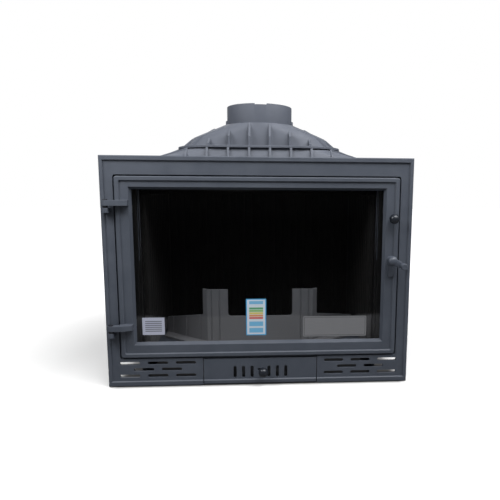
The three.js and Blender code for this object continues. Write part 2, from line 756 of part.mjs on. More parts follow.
// A hinge pin in its own frame: lug's underside at z = 0.
function hingePin() {
  const seat = LUG_HEIGHT + WASHER_HEIGHT + ARM_HEIGHT + 3 * GAP;
  const shank = barZ(PIN_RADIUS, 0, 0, 0, seat + BITE);
  const head = barZ(PIN_HEAD_RADIUS, 0, 0, seat, seat + PIN_HEAD_HEIGHT);
  return join(shank, head);
}

function hingeWasher() {
  const bore = barZ(PIN_RADIUS + GAP, 0, 0, -BITE, WASHER_HEIGHT + BITE);
  return cut(barZ(PIN_HEAD_RADIUS, 0, 0, 0, WASHER_HEIGHT), bore);
}

// ---- Latch and pull knob ---------------------------------------------------------------

// The lever, in the frame of its spindle: y = 0 on the pad, x along the lever.
function latchLever() {
  const front = -GAP - HUB_HEIGHT;
  const shoulder = -GAP - HUB_NECK_HEIGHT;
  const hub = turned([
    [0, front],
    [HUB_RADIUS * HUB_CROWN[0], front + HUB_CROWN[1]],
    [HUB_RADIUS * HUB_SHOULDER[0], front + HUB_SHOULDER[1]],
    [HUB_RADIUS, front + HUB_CROWN_HEIGHT],
    [HUB_RADIUS, shoulder - HUB_CHAMFER],
    [HUB_NECK_RADIUS, shoulder],
    [HUB_NECK_RADIUS, -GAP],
    [0, -GAP],
  ]);
  const back = LEVER_BACK + PAD_HEIGHT;
  const bar = frontPlate(
    taperedBar(0, 0, LEVER_ROOT_RADIUS, LEVER_LENGTH, 0, LEVER_TIP_RADIUS),
    back - LEVER_THICKNESS,
    back,
    BEAD_ROUND,
    FINE_ROUND
  );
  const studFront = back - LEVER_THICKNESS - GRIP_STUD_LENGTH;
  const stud = barY(GRIP_STUD_RADIUS, LEVER_LENGTH, studFront, back - BEAD_ROUND, 0, SCREW_SIDES);
  const bore = barY(SPINDLE_RADIUS + GAP, 0, -HUB_HEIGHT / 2 - GAP, BITE, 0);
  return cut(join(hub, bar, stud), bore);
}

// The grip, about its own axis: y = 0 at the lever's face.
function latchGrip() {
  const depth = GRIP_STUD_LENGTH + GAP;
  return turned([
    [0, -GAP - GRIP_LENGTH],
    [GRIP_RADIUS - GRIP_ROUND, -GAP - GRIP_LENGTH],
    [GRIP_RADIUS, -GAP - GRIP_LENGTH + GRIP_ROUND],
    [GRIP_RADIUS, -GAP - GRIP_ROUND],
    [GRIP_RADIUS - GRIP_ROUND, -GAP],
    [GRIP_STUD_RADIUS + GAP, -GAP],
    [GRIP_STUD_RADIUS + GAP, -depth],
    [0, -depth],
  ]);
}

// The spindle in the frame of the lever: from inside the hub to behind the nut.
function latchSpindle() {
  const shoulder = PAD_HEIGHT + DOOR_BACK;
  const tail = PAD_HEIGHT + TONGUE_BACK + GAP + NUT_HEIGHT + GAP;
  return turned([
    [0, -HUB_HEIGHT / 2],
    [SPINDLE_RADIUS, -HUB_HEIGHT / 2],
    [SPINDLE_RADIUS, shoulder],
    [SPINDLE_NECK_RADIUS, shoulder],
    [SPINDLE_NECK_RADIUS, tail],
    [0, tail],
  ]);
}

function latchTongue() {
  const front = PAD_HEIGHT + TONGUE_FRONT;
  const back = PAD_HEIGHT + TONGUE_BACK;
  const half = TONGUE_WIDTH / 2;
  const bar = block(-half, half, front, back, 0, TONGUE_LENGTH);
  const eye = barY(TONGUE_EYE_RADIUS, 0, front, back, 0);
  const bore = barY(SPINDLE_NECK_RADIUS + GAP, 0, front - BITE, back + BITE, 0, SCREW_SIDES);
  return cut(join(bar, eye), bore);
}

function latchNut() {
  const front = PAD_HEIGHT + TONGUE_BACK + GAP;
  const hexagon = barY(NUT_RADIUS, 0, front, front + NUT_HEIGHT, 0, HEXAGON);
  const bore = barY(SPINDLE_NECK_RADIUS + GAP, 0, front - BITE, front + NUT_HEIGHT + BITE, 0, SCREW_SIDES);
  return cut(hexagon, bore);
}

// A ball on a neck and a stud; y = 0 on the face that it is screwed into.
function ballKnob(radius, reach, neckRadius, neckBack, studRadius, studLength) {
  const profile = [];
  const steps = KNOB_STEPS;
  const neckAngle = Math.asin(neckRadius / radius);
  for (let i = 0; i <= steps; i++) {
    const angle = (i / steps) * (Math.PI - neckAngle);
    profile.push([radius * Math.sin(angle), -reach - radius * Math.cos(angle)]);
  }
  profile.push([neckRadius, neckBack]);
  if (studRadius < neckRadius) profile.push([studRadius, neckBack]);
  profile.push([studRadius, studLength], [0, studLength]);
  return turned(profile);
}

// ---- Ash drawer ------------------------------------------------------------------------

function airSlots() {
  const holes = [];
  for (let i = 0; i < AIR_SLOT_COUNT / 2; i++) {
    for (const side of [-1, 1]) {
      const x = side * (i + 1) * AIR_SLOT_PITCH;
      holes.push(slot(x, AIR_SLOT_CENTRE, AIR_SLOT_WIDTH, AIR_SLOT_HEIGHT));
    }
  }
  return holes;
}

function drawerFront() {
  const stemSlot = rectangle(
    AIR_KNOB_X - AIR_SLIDE_TRAVEL - AIR_STEM_RADIUS - 2 * GAP,
    AIR_KNOB_X + AIR_STEM_RADIUS + 2 * GAP,
    AIR_KNOB_HEIGHT - AIR_STEM_RADIUS - 2 * GAP,
    AIR_KNOB_HEIGHT + AIR_STEM_RADIUS + 2 * GAP,
    AIR_STEM_RADIUS
  );
  const face = frontPlate(
    ring(
      rectangle(-DRAWER_HALF, DRAWER_HALF, DRAWER_BOTTOM, DRAWER_TOP),
      stemSlot,
      ...airSlots()
    ),
    0,
    FRAME_THICKNESS
  );
  const beadShape = rectangle(-DRAWER_HALF, DRAWER_HALF, DRAWER_BOTTOM, FRAME_BEAD_BOTTOM);
  const bead = frontPlate(beadShape, -BEAD_HEIGHT, FRAME_THICKNESS - BITE, BEAD_ROUND);
  const boss = barY(
    DRAWER_BOSS_RADIUS,
    DRAWER_BOSS_X,
    FRAME_THICKNESS - BITE,
    PAN_FRONT - GAP,
    DRAWER_BOSS_HEIGHT
  );
  const hole = barY(
    DRAWER_SCREW_RADIUS + GAP,
    DRAWER_BOSS_X,
    FRAME_THICKNESS - BITE,
    PAN_FRONT + BITE,
    DRAWER_BOSS_HEIGHT,
    12
  );
  return cut(join(face, bead, boss, mirrored(boss)), hole, mirrored(hole));
}

function airSlide() {
  const half = AIR_SLIDE_WIDTH / 2;
  const outline = rectangle(-half, half, SLIDE_BOTTOM, SLIDE_TOP);
  const plate = frontPlate(ring(outline, ...airSlots()), SLIDE_FRONT, SLIDE_BACK);
  const hole = barY(
    AIR_STEM_RADIUS + GAP,
    AIR_KNOB_X,
    SLIDE_FRONT - BITE,
    SLIDE_BACK + BITE,
    AIR_KNOB_HEIGHT,
    16
  );
  return cut(plate, hole);
}

// One of the two rails that hold the slide against the drawer's face.
function slideGuide(edge, side) {
  const half = GUIDE_LENGTH / 2;
  const near = edge + side * GAP;
  const far = near + side * GUIDE_BACK;
  const lip = edge - side * GUIDE_LIP;
  const spine = block(-half, half, SLIDE_FRONT, GUIDE_REAR, Math.min(near, far), Math.max(near, far));
  const cover = block(
    -half,
    half,
    SLIDE_BACK + GAP,
    GUIDE_REAR,
    Math.min(lip, far),
    Math.max(lip, far)
  );
  return join(spine, cover);
}

function ashPan() {
  const half = PAN_WIDTH / 2;
  const t = PAN_SHEET;
  const outer = block(-half, half, PAN_FRONT, PAN_BACK, PAN_BOTTOM, PAN_HEIGHT);
  const room = block(
    t - half,
    half - t,
    PAN_FRONT + t,
    PAN_BACK - t,
    PAN_BOTTOM + t,
    PAN_HEIGHT + BITE
  );
  const hole = barY(
    DRAWER_SCREW_RADIUS + GAP,
    DRAWER_BOSS_X,
    PAN_FRONT - BITE,
    PAN_FRONT + t + BITE,
    DRAWER_BOSS_HEIGHT,
    12
  );
  return cut(outer, room, hole, mirrored(hole));
}

// A pan screw in its own frame: y = 0 on the inside of the pan's front.
function drawerScrew() {
  const length = PAN_SHEET + PAN_FRONT - FRAME_THICKNESS;
  const shank = barY(DRAWER_SCREW_RADIUS, 0, -length, GAP + BITE, 0, SCREW_SIDES);
  const head = barY(DRAWER_SCREW_HEAD_RADIUS, 0, GAP, GAP + DRAWER_SCREW_HEAD_HEIGHT, 0, SCREW_SIDES);
  return join(shank, head);
}

// ---- Hearth and body -------------------------------------------------------------------

function grateOutline(margin) {
  const half = GRATE_WIDTH / 2 + margin;
  const reach = GRATE_LENGTH / 2 + margin;
  return [-half, half, GRATE_CENTRE_Y - reach, GRATE_CENTRE_Y + reach];
}

function hearthCasting() {
  const plate = block(
    -FLANGE_EDGE,
    FLANGE_EDGE,
    BODY_FRONT,
    BODY_BACK,
    HEARTH_BOTTOM,
    HEARTH_TOP
  );
  const skirtTop = HEARTH_BOTTOM + BITE;
  const outer = block(-HALF_BODY, HALF_BODY, BODY_FRONT, BODY_BACK, -FRAME_LIFT, skirtTop);
  const room = block(
    -INNER_HALF,
    INNER_HALF,
    BODY_FRONT - BITE,
    BODY_BACK - WALL,
    -FRAME_LIFT - BITE,
    HEARTH_BOTTOM
  );
  const vent = block(
    -BACK_VENT_WIDTH / 2,
    BACK_VENT_WIDTH / 2,
    BODY_BACK - WALL - BITE,
    BODY_BACK + BITE,
    -FRAME_LIFT - BITE,
    BACK_VENT_HEIGHT
  );
  const throat = block(...grateOutline(-GRATE_SEAT), HEARTH_BOTTOM - BITE, HEARTH_TOP + BITE);
  const seat = block(
    ...grateOutline(GAP),
    HEARTH_TOP - GRATE_THICKNESS / 2 - GAP,
    HEARTH_TOP + BITE
  );
  const holes = [];
  for (const y of SIDE_BOLT_DEPTHS) {
    for (const x of [-BOLT_X, BOLT_X]) {
      holes.push(barZ(BOLT_RADIUS + GAP, x, y, HEARTH_BOTTOM - BITE, HEARTH_TOP + BITE, BOLT_HOLE_SIDES));
    }
  }
  return cut(join(plate, cut(outer, room, vent)), throat, seat, ...holes);
}

function fireGrate() {
  const middle = HEARTH_TOP - GRATE_THICKNESS / 2;
  const low = HEARTH_TOP - GRATE_THICKNESS;
  const top = block(...grateOutline(0), middle, HEARTH_TOP);
  const below = block(...grateOutline(-GRATE_SEAT - 2 * GAP), low, middle + BITE);
  const [x0, x1, y0, y1] = grateOutline(-2 * GRATE_SEAT);
  const pitch = (x1 - x0) / GRATE_SLOTS;
  const slots = [];
  for (let i = 0; i < GRATE_SLOTS; i++) {
    const x = x0 + (i + 0.5) * pitch;
    const half = GRATE_SLOT_WIDTH / 2;
    slots.push(block(x - half, x + half, y0, y1, low - BITE, HEARTH_TOP + BITE));
  }
  return cut(join(top, below), ...slots);
}

function ashBox() {
  const half = ASH_BOX_WIDTH / 2;
  const top = HEARTH_BOTTOM - GAP;
  const outer = block(-half, half, ASH_BOX_FRONT, ASH_BOX_BACK, -FRAME_LIFT, top);
  const room = block(
    SHEET - half,
    half - SHEET,
    ASH_BOX_FRONT - BITE,
    ASH_BOX_BACK - SHEET,
    SHEET - FRAME_LIFT,
    top - SHEET
  );
  const [x0, x1, y0, y1] = grateOutline(-GRATE_SEAT);
  const mouth = block(
    Math.max(x0, ASH_BOX_LIP - half),
    Math.min(x1, half - ASH_BOX_LIP),
    y0,
    y1,
    top - SHEET - BITE,
    top + BITE
  );
  return cut(outer, room, mouth);
}

function ribPlaces(from, to, centre) {
  const places = [];
  const first = Math.ceil((from - centre) / RIB_PITCH - 0.5) + 0.5;
  for (let k = first; centre + k * RIB_PITCH <= to; k++) places.push(centre + k * RIB_PITCH);
  return places;
}

function sideWall() {
  const flangeTop = BODY_TOP - FLANGE_THICKNESS;
  const wall = block(INNER_HALF, HALF_BODY, BODY_FRONT, BODY_BACK, WALL_BOTTOM, BODY_TOP);
  const front = block(
    HALF_BODY - BITE,
    FLANGE_EDGE,
    BODY_FRONT,
    BODY_FRONT + FLANGE_THICKNESS,
    WALL_BOTTOM,
    BODY_TOP
  );
  const foot = block(
    HALF_BODY - BITE,
    FLANGE_EDGE,
    BODY_FRONT,
    BODY_BACK,
    WALL_BOTTOM,
    WALL_BOTTOM + FLANGE_THICKNESS
  );
  const head = block(HALF_BODY - BITE, FLANGE_EDGE, BODY_FRONT, BODY_BACK, flangeTop, BODY_TOP);
  const ribs = ribPlaces(BODY_FRONT + 2 * FLANGE_THICKNESS, BODY_BACK - RIB_THICKNESS, FLUE_SETBACK)
    .map((y) => block(
      HALF_BODY - BITE,
      HALF_BODY + RIB_REACH,
      y - RIB_THICKNESS / 2,
      y + RIB_THICKNESS / 2,
      WALL_BOTTOM,
      BODY_TOP
    ));
  const flangeBack = BODY_FRONT + FLANGE_THICKNESS;
  const frontHoles = FRAME_BOLT_HEIGHTS.map((z) =>
    barY(BOLT_RADIUS + GAP, BOLT_X, BODY_FRONT - BITE, flangeBack + BITE, z, BOLT_HOLE_SIDES)
  );
  const footTop = WALL_BOTTOM + FLANGE_THICKNESS;
  const edgeHoles = SIDE_BOLT_DEPTHS.flatMap((y) => [
    barZ(BOLT_RADIUS + GAP, BOLT_X, y, WALL_BOTTOM - BITE, footTop + BITE, BOLT_HOLE_SIDES),
    barZ(BOLT_RADIUS + GAP, BOLT_X, y, flangeTop - BITE, BODY_TOP + BITE, BOLT_HOLE_SIDES),
  ]);
  return cut(join(wall, front, foot, head, ...ribs), ...frontHoles, ...edgeHoles);
}

function backWall() {
  const half = INNER_HALF - GAP;
  const wall = block(-half, half, BODY_BACK - WALL, BODY_BACK, WALL_BOTTOM, BODY_TOP);
  const ribs = ribPlaces(RIB_THICKNESS - half, half - RIB_THICKNESS, 0).map((x) =>
    block(
      x - RIB_THICKNESS / 2,
      x + RIB_THICKNESS / 2,
      BODY_BACK - BITE,
      BODY_BACK + RIB_REACH,
      WALL_BOTTOM,
      BODY_TOP
    )
  );
  return join(wall, ...ribs);
}

// ---- Hood and collar -------------------------------------------------------------------

// The corners of a rounded oblong in plan, at one height.
function oblongPoints(halfWidth, front, back, corner, z) {
  const points = [];
  const steps = HOOD_CORNER_STEPS;
  for (const [x, y, start] of [
    [halfWidth - corner, back - corner, 0],
    [corner - halfWidth, back - corner, 1],
    [corner - halfWidth, front + corner, 2],
    [halfWidth - corner, front + corner, 3],
  ]) {
    for (let i = 0; i <= steps; i++) {
      const angle = ((start + i / steps) * Math.PI) / 2;
      const px = x + corner * Math.cos(angle);
      const py = y + corner * Math.sin(angle);
      points.push(new THREE.Vector3(px, py, z));
    }
  }
  return points;
}

// The hood's plan at its waist, grown by a margin, at one height.
function waistPoints(margin, z) {
  return oblongPoints(
    HALF_BODY - HOOD_WAIST_SIDE_INSET + margin,
    HOOD_FOOT_FRONT + HOOD_WAIST_INSET - margin,
    BODY_BACK - HOOD_WAIST_INSET + margin,
    HOOD_WAIST_CORNER,
    z
  );
}

// The hood below its waist, grown by a margin: from an oblong foot in to the waist.
function hoodSkirt(margin, low, high) {
  const footPoints = oblongPoints(
    HALF_BODY + margin,
    HOOD_FOOT_FRONT - margin,
    BODY_BACK + margin,
    HOOD_FOOT_CORNER,
    low
  );
  return solid(new ConvexGeometry([...footPoints, ...waistPoints(margin, high)]));
}

// The hood above its waist: a shoulder set back from the waist, a brow and a round crown.
function hoodDome(margin, low, high) {
  const inset = HOOD_WAIST_INSET + HOOD_SHOULDER_INSET - margin;
  const points = oblongPoints(
    HALF_BODY - HOOD_WAIST_SIDE_INSET - HOOD_SHOULDER_SIDE_INSET + margin,
    HOOD_FOOT_FRONT + inset,
    BODY_BACK - inset,
    HOOD_SHOULDER_CORNER,
    low
  );
  points.push(
    ...oblongPoints(
      HOOD_BROW_HALF + margin,
      HOOD_FOOT_FRONT + inset + HOOD_BROW_INSET,
      BODY_BACK - inset - HOOD_BROW_INSET,
      HOOD_BROW_CORNER,
      high - HOOD_BROW_DROP
    )
  );
  const steps = FLUE_SIDES;
  for (let i = 0; i < steps; i++) {
    const angle = ((i + 0.5) / steps) * 2 * Math.PI;
    const radius = HOOD_CROWN_RADIUS + margin;
    const px = radius * Math.cos(angle);
    const py = FLUE_SETBACK + radius * Math.sin(angle);
    points.push(new THREE.Vector3(px, py, high));
  }
  return solid(new ConvexGeometry(points));
}

// A fin of the dome towards +X of the flue, its edge given from the waist up to its end.
function domeFin(edge) {
  const waist = HOOD_BOTTOM + HOOD_WAIST_HEIGHT;
  const ends = [[edge[0][0], 0], ...edge, [edge.at(-1)[0], 0]];
  const outline = planShape(ends.map(([distance, height]) => [distance, waist + height]));
  return frontPlate(outline, -HOOD_RIB_THICKNESS / 2, HOOD_RIB_THICKNESS / 2);
}

// Ribs up the skirt, a flat hoop round the waist, and fins from the hoop up the dome.
function hoodRibs() {
  const low = RIM_TOP - BITE;
  const waist = HOOD_BOTTOM + HOOD_WAIST_HEIGHT;
  const half = HOOD_RIB_THICKNESS / 2;
  const far = BODY_BACK + FLUE_SETBACK;
  const ribs = [];
  const frontRibs = ribPlaces(2 * RIB_PITCH - HALF_BODY, HALF_BODY - 2 * RIB_PITCH, 0);
  for (const x of frontRibs) ribs.push(block(x - half, x + half, 0, far, low, waist + BITE));
  const clear = Math.max(...frontRibs) + 2 * HOOD_RIB_THICKNESS;
  for (const y of ribPlaces(RIB_PITCH, BODY_BACK - RIB_PITCH, FLUE_SETBACK)) {
    const start = Math.abs(y - FLUE_SETBACK) > HOOD_CROWN_RADIUS ? clear : 0;
    const rib = block(start, FRAME_WIDTH, y - half, y + half, low, waist + BITE);
    ribs.push(rib, mirrored(rib));
  }
  const skirtRibs = hoodSkirt(HOOD_RIB_REACH, HOOD_BOTTOM, waist).intersect(join(...ribs));
  const hoop = solid(
    new ConvexGeometry([
      ...waistPoints(HOOD_RIB_REACH, waist),
      ...waistPoints(HOOD_RIB_REACH, waist + HOOD_RING_THICKNESS),
    ])
  );
  const fins = [];
  const frontFace = FLUE_SETBACK - HOOD_FOOT_FRONT - HOOD_WAIST_INSET - FIN_SETBACK;
  const backFace = BODY_BACK - HOOD_WAIST_INSET - FLUE_SETBACK - FIN_SETBACK;
  FRONT_FINS.forEach(([knee, distance, height], i) => {
    for (const [face, turn] of [[frontFace, -90], [backFace, 90]]) {
      const fin = domeFin([[face, knee], [distance, height]])
        .rotate([0, 0, turn])
        .translate([(i + 0.5) * RIB_PITCH, FLUE_SETBACK, 0]);
      fins.push(fin, mirrored(fin));
    }
  });
  SIDE_FINS.forEach((edge, i) => {
    for (const side of [-1, 1]) {
      const offset = side * (i + 0.5) * RIB_PITCH;
      const fin = domeFin(edge).translate([0, FLUE_SETBACK + offset, 0]);
      fins.push(fin, mirrored(fin));
    }
  });
  return join(skirtRibs, hoop, ...fins);
}

function smokeHood() {
  const reach = HALF_BODY + RIM_REACH;
  const rim = block(
    -reach,
    reach,
    HOOD_FOOT_FRONT - RIM_REACH,
    BODY_BACK + RIM_REACH,
    HOOD_BOTTOM,
    RIM_TOP
  );
  const waist = HOOD_BOTTOM + HOOD_WAIST_HEIGHT;
  const ledge = waist + HOOD_RING_THICKNESS - HOOD_WALL;
  const slope = join(hoodSkirt(0, HOOD_BOTTOM, waist), hoodDome(0, waist, HOOD_TOP));
  const room = join(
    hoodSkirt(-HOOD_WALL, HOOD_BOTTOM - BITE, ledge),
    hoodDome(-HOOD_WALL, ledge - BITE, HOOD_TOP - HOOD_WALL)
  );
  const lip = HOOD_TOP - 2 * HOOD_WALL;
  const bore = barZ(FLUE_BORE_RADIUS, 0, FLUE_SETBACK, lip, HOOD_TOP + BITE, FLUE_SIDES);
  const holes = [];
  for (const y of SIDE_BOLT_DEPTHS) {
    for (const x of [-BOLT_X, BOLT_X]) {
      const above = RIM_TOP + HOOD_RIB_REACH;
      holes.push(barZ(BOLT_RADIUS + GAP, x, y, HOOD_BOTTOM - BITE, above, BOLT_HOLE_SIDES));
      const seatRadius = BOLT_HEAD_RADIUS + 2 * GAP;
      holes.push(barZ(seatRadius, x, y, RIM_TOP, RIM_TOP + 2 * BOLT_HEAD_HEIGHT));
    }
  }
  for (const [x, y] of collarBoltPlaces()) {
    holes.push(barZ(BOLT_RADIUS + GAP, x, y, lip, HOOD_TOP + BITE, BOLT_HOLE_SIDES));
  }
  return cut(join(rim, slope, hoodRibs()), room, bore, ...holes);
}

function collarBoltPlaces() {
  const radius = (FLUE_BORE_RADIUS + COLLAR_RADIUS - COLLAR_WALL) / 2;
  const places = [];
  for (let i = 0; i < COLLAR_BOLT_COUNT; i++) {
    const angle = ((i + 0.5) / COLLAR_BOLT_COUNT) * 2 * Math.PI;
    places.push([radius * Math.cos(angle), FLUE_SETBACK + radius * Math.sin(angle)]);
  }
  return places;
}

function flueCollar() {
  const low = HOOD_TOP + GAP;
  const top = HOOD_TOP + COLLAR_HEIGHT;
  const outline = (radius) => new THREE.Shape().absarc(0, FLUE_SETBACK, radius, 0, 2 * Math.PI);
  const tubeWall = (radius, hole, z0, z1) => {
    const geometry = new THREE.ExtrudeGeometry(ring(outline(radius), outline(hole)), {
      depth: z1 - z0,
      curveSegments: FLUE_SIDES / 2,
      bevelEnabled: false,
    });
    return solid(geometry.translate(0, 0, z0));
  };
  const inside = COLLAR_RADIUS - COLLAR_WALL;
  const tube = tubeWall(COLLAR_RADIUS, inside, low, top);
  const lugs = tubeWall(
    COLLAR_RADIUS + COLLAR_LUG_REACH,
    inside,
    low,
    low + COLLAR_LUG_HEIGHT
  ).intersect(
    block(
      -FRAME_WIDTH,
      FRAME_WIDTH,
      FLUE_SETBACK - COLLAR_LUG_WIDTH / 2,
      FLUE_SETBACK + COLLAR_LUG_WIDTH / 2,
      low - BITE,
      HOOD_TOP + COLLAR_HEIGHT
    )
  );
  const flange = tubeWall(inside + BITE, FLUE_BORE_RADIUS, low, low + COLLAR_FLANGE_THICKNESS);
  const notch = block(
    COLLAR_NOTCH_SHIFT - COLLAR_NOTCH_WIDTH / 2,
    COLLAR_NOTCH_SHIFT + COLLAR_NOTCH_WIDTH / 2,
    FLUE_SETBACK - COLLAR_RADIUS - BITE,
    FLUE_SETBACK - inside + 2 * COLLAR_WALL,
    top - COLLAR_NOTCH_DEPTH,
    top + BITE
  );
  const holes = collarBoltPlaces().map(([x, y]) =>
    barZ(BOLT_RADIUS + GAP, x, y, low - BITE, low + COLLAR_FLANGE_THICKNESS + BITE, BOLT_HOLE_SIDES)
  );
  return cut(join(tube, lugs, flange), notch, ...holes);
}

// A hexagon bolt along Z in its own frame: z = 0 on its seat, shank downwards.
function bolt(grip) {
  const shank = barZ(BOLT_RADIUS, 0, 0, -grip - GAP, GAP + BITE, SCREW_SIDES);
  const head = barZ(BOLT_HEAD_RADIUS, 0, 0, GAP, GAP + BOLT_HEAD_HEIGHT, HEXAGON);
  return join(shank, head);
}

// ---- Fire chamber ----------------------------------------------------------------------

// A liner's plan from u0 to u1, with its back at v = 0 and fluted face at v = thickness.
function flutedOutline(u0, u1) {
  const shape = new THREE.Shape();
  shape.moveTo(u0, 0);
  shape.lineTo(u0, LINER_THICKNESS);
  const count = Math.floor((u1 - u0) / FLUTE_PITCH) - 1;
  const first = (u0 + u1 - (count - 1) * FLUTE_PITCH) / 2;
  for (let i = 0; i < count; i++) {
    const u = first + i * FLUTE_PITCH;
    shape.lineTo(u - FLUTE_DEPTH, LINER_THICKNESS);
    shape.lineTo(u, LINER_THICKNESS - FLUTE_DEPTH);
    shape.lineTo(u + FLUTE_DEPTH, LINER_THICKNESS);
  }
  shape.lineTo(u1, LINER_THICKNESS);
  shape.lineTo(u1, 0);
  return shape;
}

function fireBack() {
  const half = INNER_HALF - 2 * GAP;
  const panel = planPlate(flutedOutline(-half, half), WALL_BOTTOM, LINER_TOP);
  return panel.rotate([0, 0, 180]).translate([0, BODY_BACK - WALL - GAP, 0]);
}

function sideLiner() {
  const back = BODY_BACK - WALL - LINER_THICKNESS - 2 * GAP;
  const panel = planPlate(flutedOutline(LINER_FRONT, back), WALL_BOTTOM, LINER_TOP);
  return panel.rotate([0, 0, 90]).translate([INNER_HALF - GAP, 0, 0]);
}

function bafflePlate() {
  const half = INNER_HALF - 2 * GAP;
  const back = BODY_BACK - WALL - GAP;
  const low = LINER_TOP + GAP;
  return block(-half, half, back - BAFFLE_LENGTH, back, low, low + BAFFLE_THICKNESS);
}

// The guard's front line in plan, from left to right, moved forward by an offset.
function guardLine(offset) {
  const angle = THREE.MathUtils.degToRad(GUARD_WING_ANGLE);
  const bend = GUARD_CENTRE_HALF + offset * Math.tan(angle / 2);
  const front = GUARD_FRONT - offset;
  const endX = INNER_HALF - GUARD_SIDE_ROOM;
  const endY = front + (endX - bend) * Math.tan(angle);
  return [
    [-endX, endY],
    [-bend, front],
    [bend, front],
    [endX, endY],
  ];
}

// Small V grooves along one stretch of the guard's face, at these distances from its start.
function grooveOutline(from, to, places) {
  const points = [];
  const dx = to[0] - from[0];
  const dy = to[1] - from[1];
  const length = Math.hypot(dx, dy);
  const [tx, ty] = [dx / length, dy / length];
  const [nx, ny] = [-ty, tx];
  for (const at of places) {
    for (const [along, deep] of [[-1, 0], [0, 1], [1, 0]]) {
      const s = at + along * GUARD_FLUTE_DEPTH;
      const d = deep * GUARD_FLUTE_DEPTH;
      points.push([from[0] + tx * s + nx * d, from[1] + ty * s + ny * d]);
    }
  }
  return points;
}

function planShape(points) {
  return new THREE.Shape(points.map(([x, y]) => new THREE.Vector2(x, y)));
}

function logGuard() {
  const face = guardLine(0);
  const rear = guardLine(-GUARD_THICKNESS).reverse();
  const wingLength = Math.hypot(face[1][0] - face[0][0], face[1][1] - face[0][1]);
  const wingFlutes = [];
  for (let i = 0; i < GUARD_WING_FLUTES; i++) {
    wingFlutes.push((wingLength * (i + 0.5)) / GUARD_WING_FLUTES);
  }
  const hornFlutes = [];
  for (const horn of [-1, 1]) {
    for (let i = 0; i < GUARD_HORN_FLUTES; i++) {
      const step = (i - (GUARD_HORN_FLUTES - 1) / 2) * GUARD_HORN_FLUTE_PITCH;
      hornFlutes.push(GUARD_CENTRE_HALF + horn * GUARD_HORN_CENTRE + step);
    }
  }
  const fluted = [
    face[0],
    ...grooveOutline(face[0], face[1], wingFlutes),
    face[1],
    ...grooveOutline(face[1], face[2], hornFlutes),
    face[2],
    ...grooveOutline(face[2], face[3], wingFlutes),
    face[3],
  ];
  const low = WALL_BOTTOM;
  const wall = planPlate(planShape([...fluted, ...rear]), low, low + GUARD_HORN_HEIGHT);
  const footLine = planShape([...guardLine(GUARD_FOOT_REACH), ...rear]);
  const foot = planPlate(footLine, low, low + GUARD_FOOT_THICKNESS);

  const shoulder = low + GUARD_HEIGHT;
  const tip = shoulder - GUARD_WING_DROP;
  const crest = low + GUARD_HORN_HEIGHT + BITE;
  const fillet = GUARD_HORN_FILLET;
  const inner = GUARD_HORN_CENTRE - GUARD_HORN_WIDTH / 2;
  const outer = GUARD_HORN_CENTRE + GUARD_HORN_WIDTH / 2;
  const edge = face[3][0];
  const quarter = Math.PI / 2;
  const outline = new THREE.Shape();
  outline.moveTo(-edge - BITE, low - BITE);
  outline.lineTo(edge + BITE, low - BITE);
  outline.lineTo(edge + BITE, tip);
  outline.lineTo(edge, tip);
  outline.absarc(outer + fillet, shoulder + fillet, fillet, -quarter, -2 * quarter, true);
  outline.lineTo(outer, crest);
  outline.lineTo(inner, crest);
  outline.absarc(inner - fillet, shoulder + fillet, fillet, 0, -quarter, true);
  outline.absarc(fillet - inner, shoulder + fillet, fillet, -quarter, -2 * quarter, true);
  outline.lineTo(-inner, crest);
  outline.lineTo(-outer, crest);
  outline.absarc(-outer - fillet, shoulder + fillet, fillet, 0, -quarter, true);
  outline.lineTo(-edge, tip);
  outline.lineTo(-edge - BITE, tip);
  const mask = frontPlate(outline, 0, BODY_BACK);
  return join(wall.intersect(mask), foot);
}

// ---- Assembly --------------------------------------------------------------------------

const insert = new THREE.Group();
insert.name = "insert";
insert.position.set(0, -FLUE_SETBACK, FRAME_LIFT);

const shell = new THREE.Group();
shell.name = "shell";
shell.add(piece("front_frame", frontFrame(), paintedIron));
shell.add(piece("hearth_casting", hearthCasting(), paintedIron));
shell.add(piece("ash_box", ashBox(), sheetSteel));
shell.add(piece("side_wall_right", sideWall(), paintedIron));
shell.add(piece("side_wall_left", mirrored(sideWall()), paintedIron));
shell.add(piece("back_wall", backWall(), paintedIron));
shell.add(piece("smoke_hood", smokeHood(), hoodIron));
shell.add(piece("flue_collar", flueCollar(), hoodIron));
shell.add(piece("baffle_plate", bafflePlate(), sootyIron));
shell.add(piece("fire_back", fireBack(), sootyIron));
shell.add(piece("liner_right", sideLiner(), sootyIron));
shell.add(piece("liner_left", mirrored(sideLiner()), sootyIron));
shell.add(piece("log_guard", logGuard(), sootyIron));
shell.add(piece("fire_grate", fireGrate(), sootyIron));
HINGE_HEIGHTS.forEach((z, i) => {
  const place = ["lower", "upper"][i];
  const washerZ = z + LUG_HEIGHT + GAP;
  shell.add(piece(`hinge_pin_${place}`, hingePin(), darkSteel, [PIN_X, PIN_Y, z]));
  shell.add(piece(`hinge_washer_${place}`, hingeWasher(), darkSteel, [PIN_X, PIN_Y, washerZ]));
});
insert.add(shell);

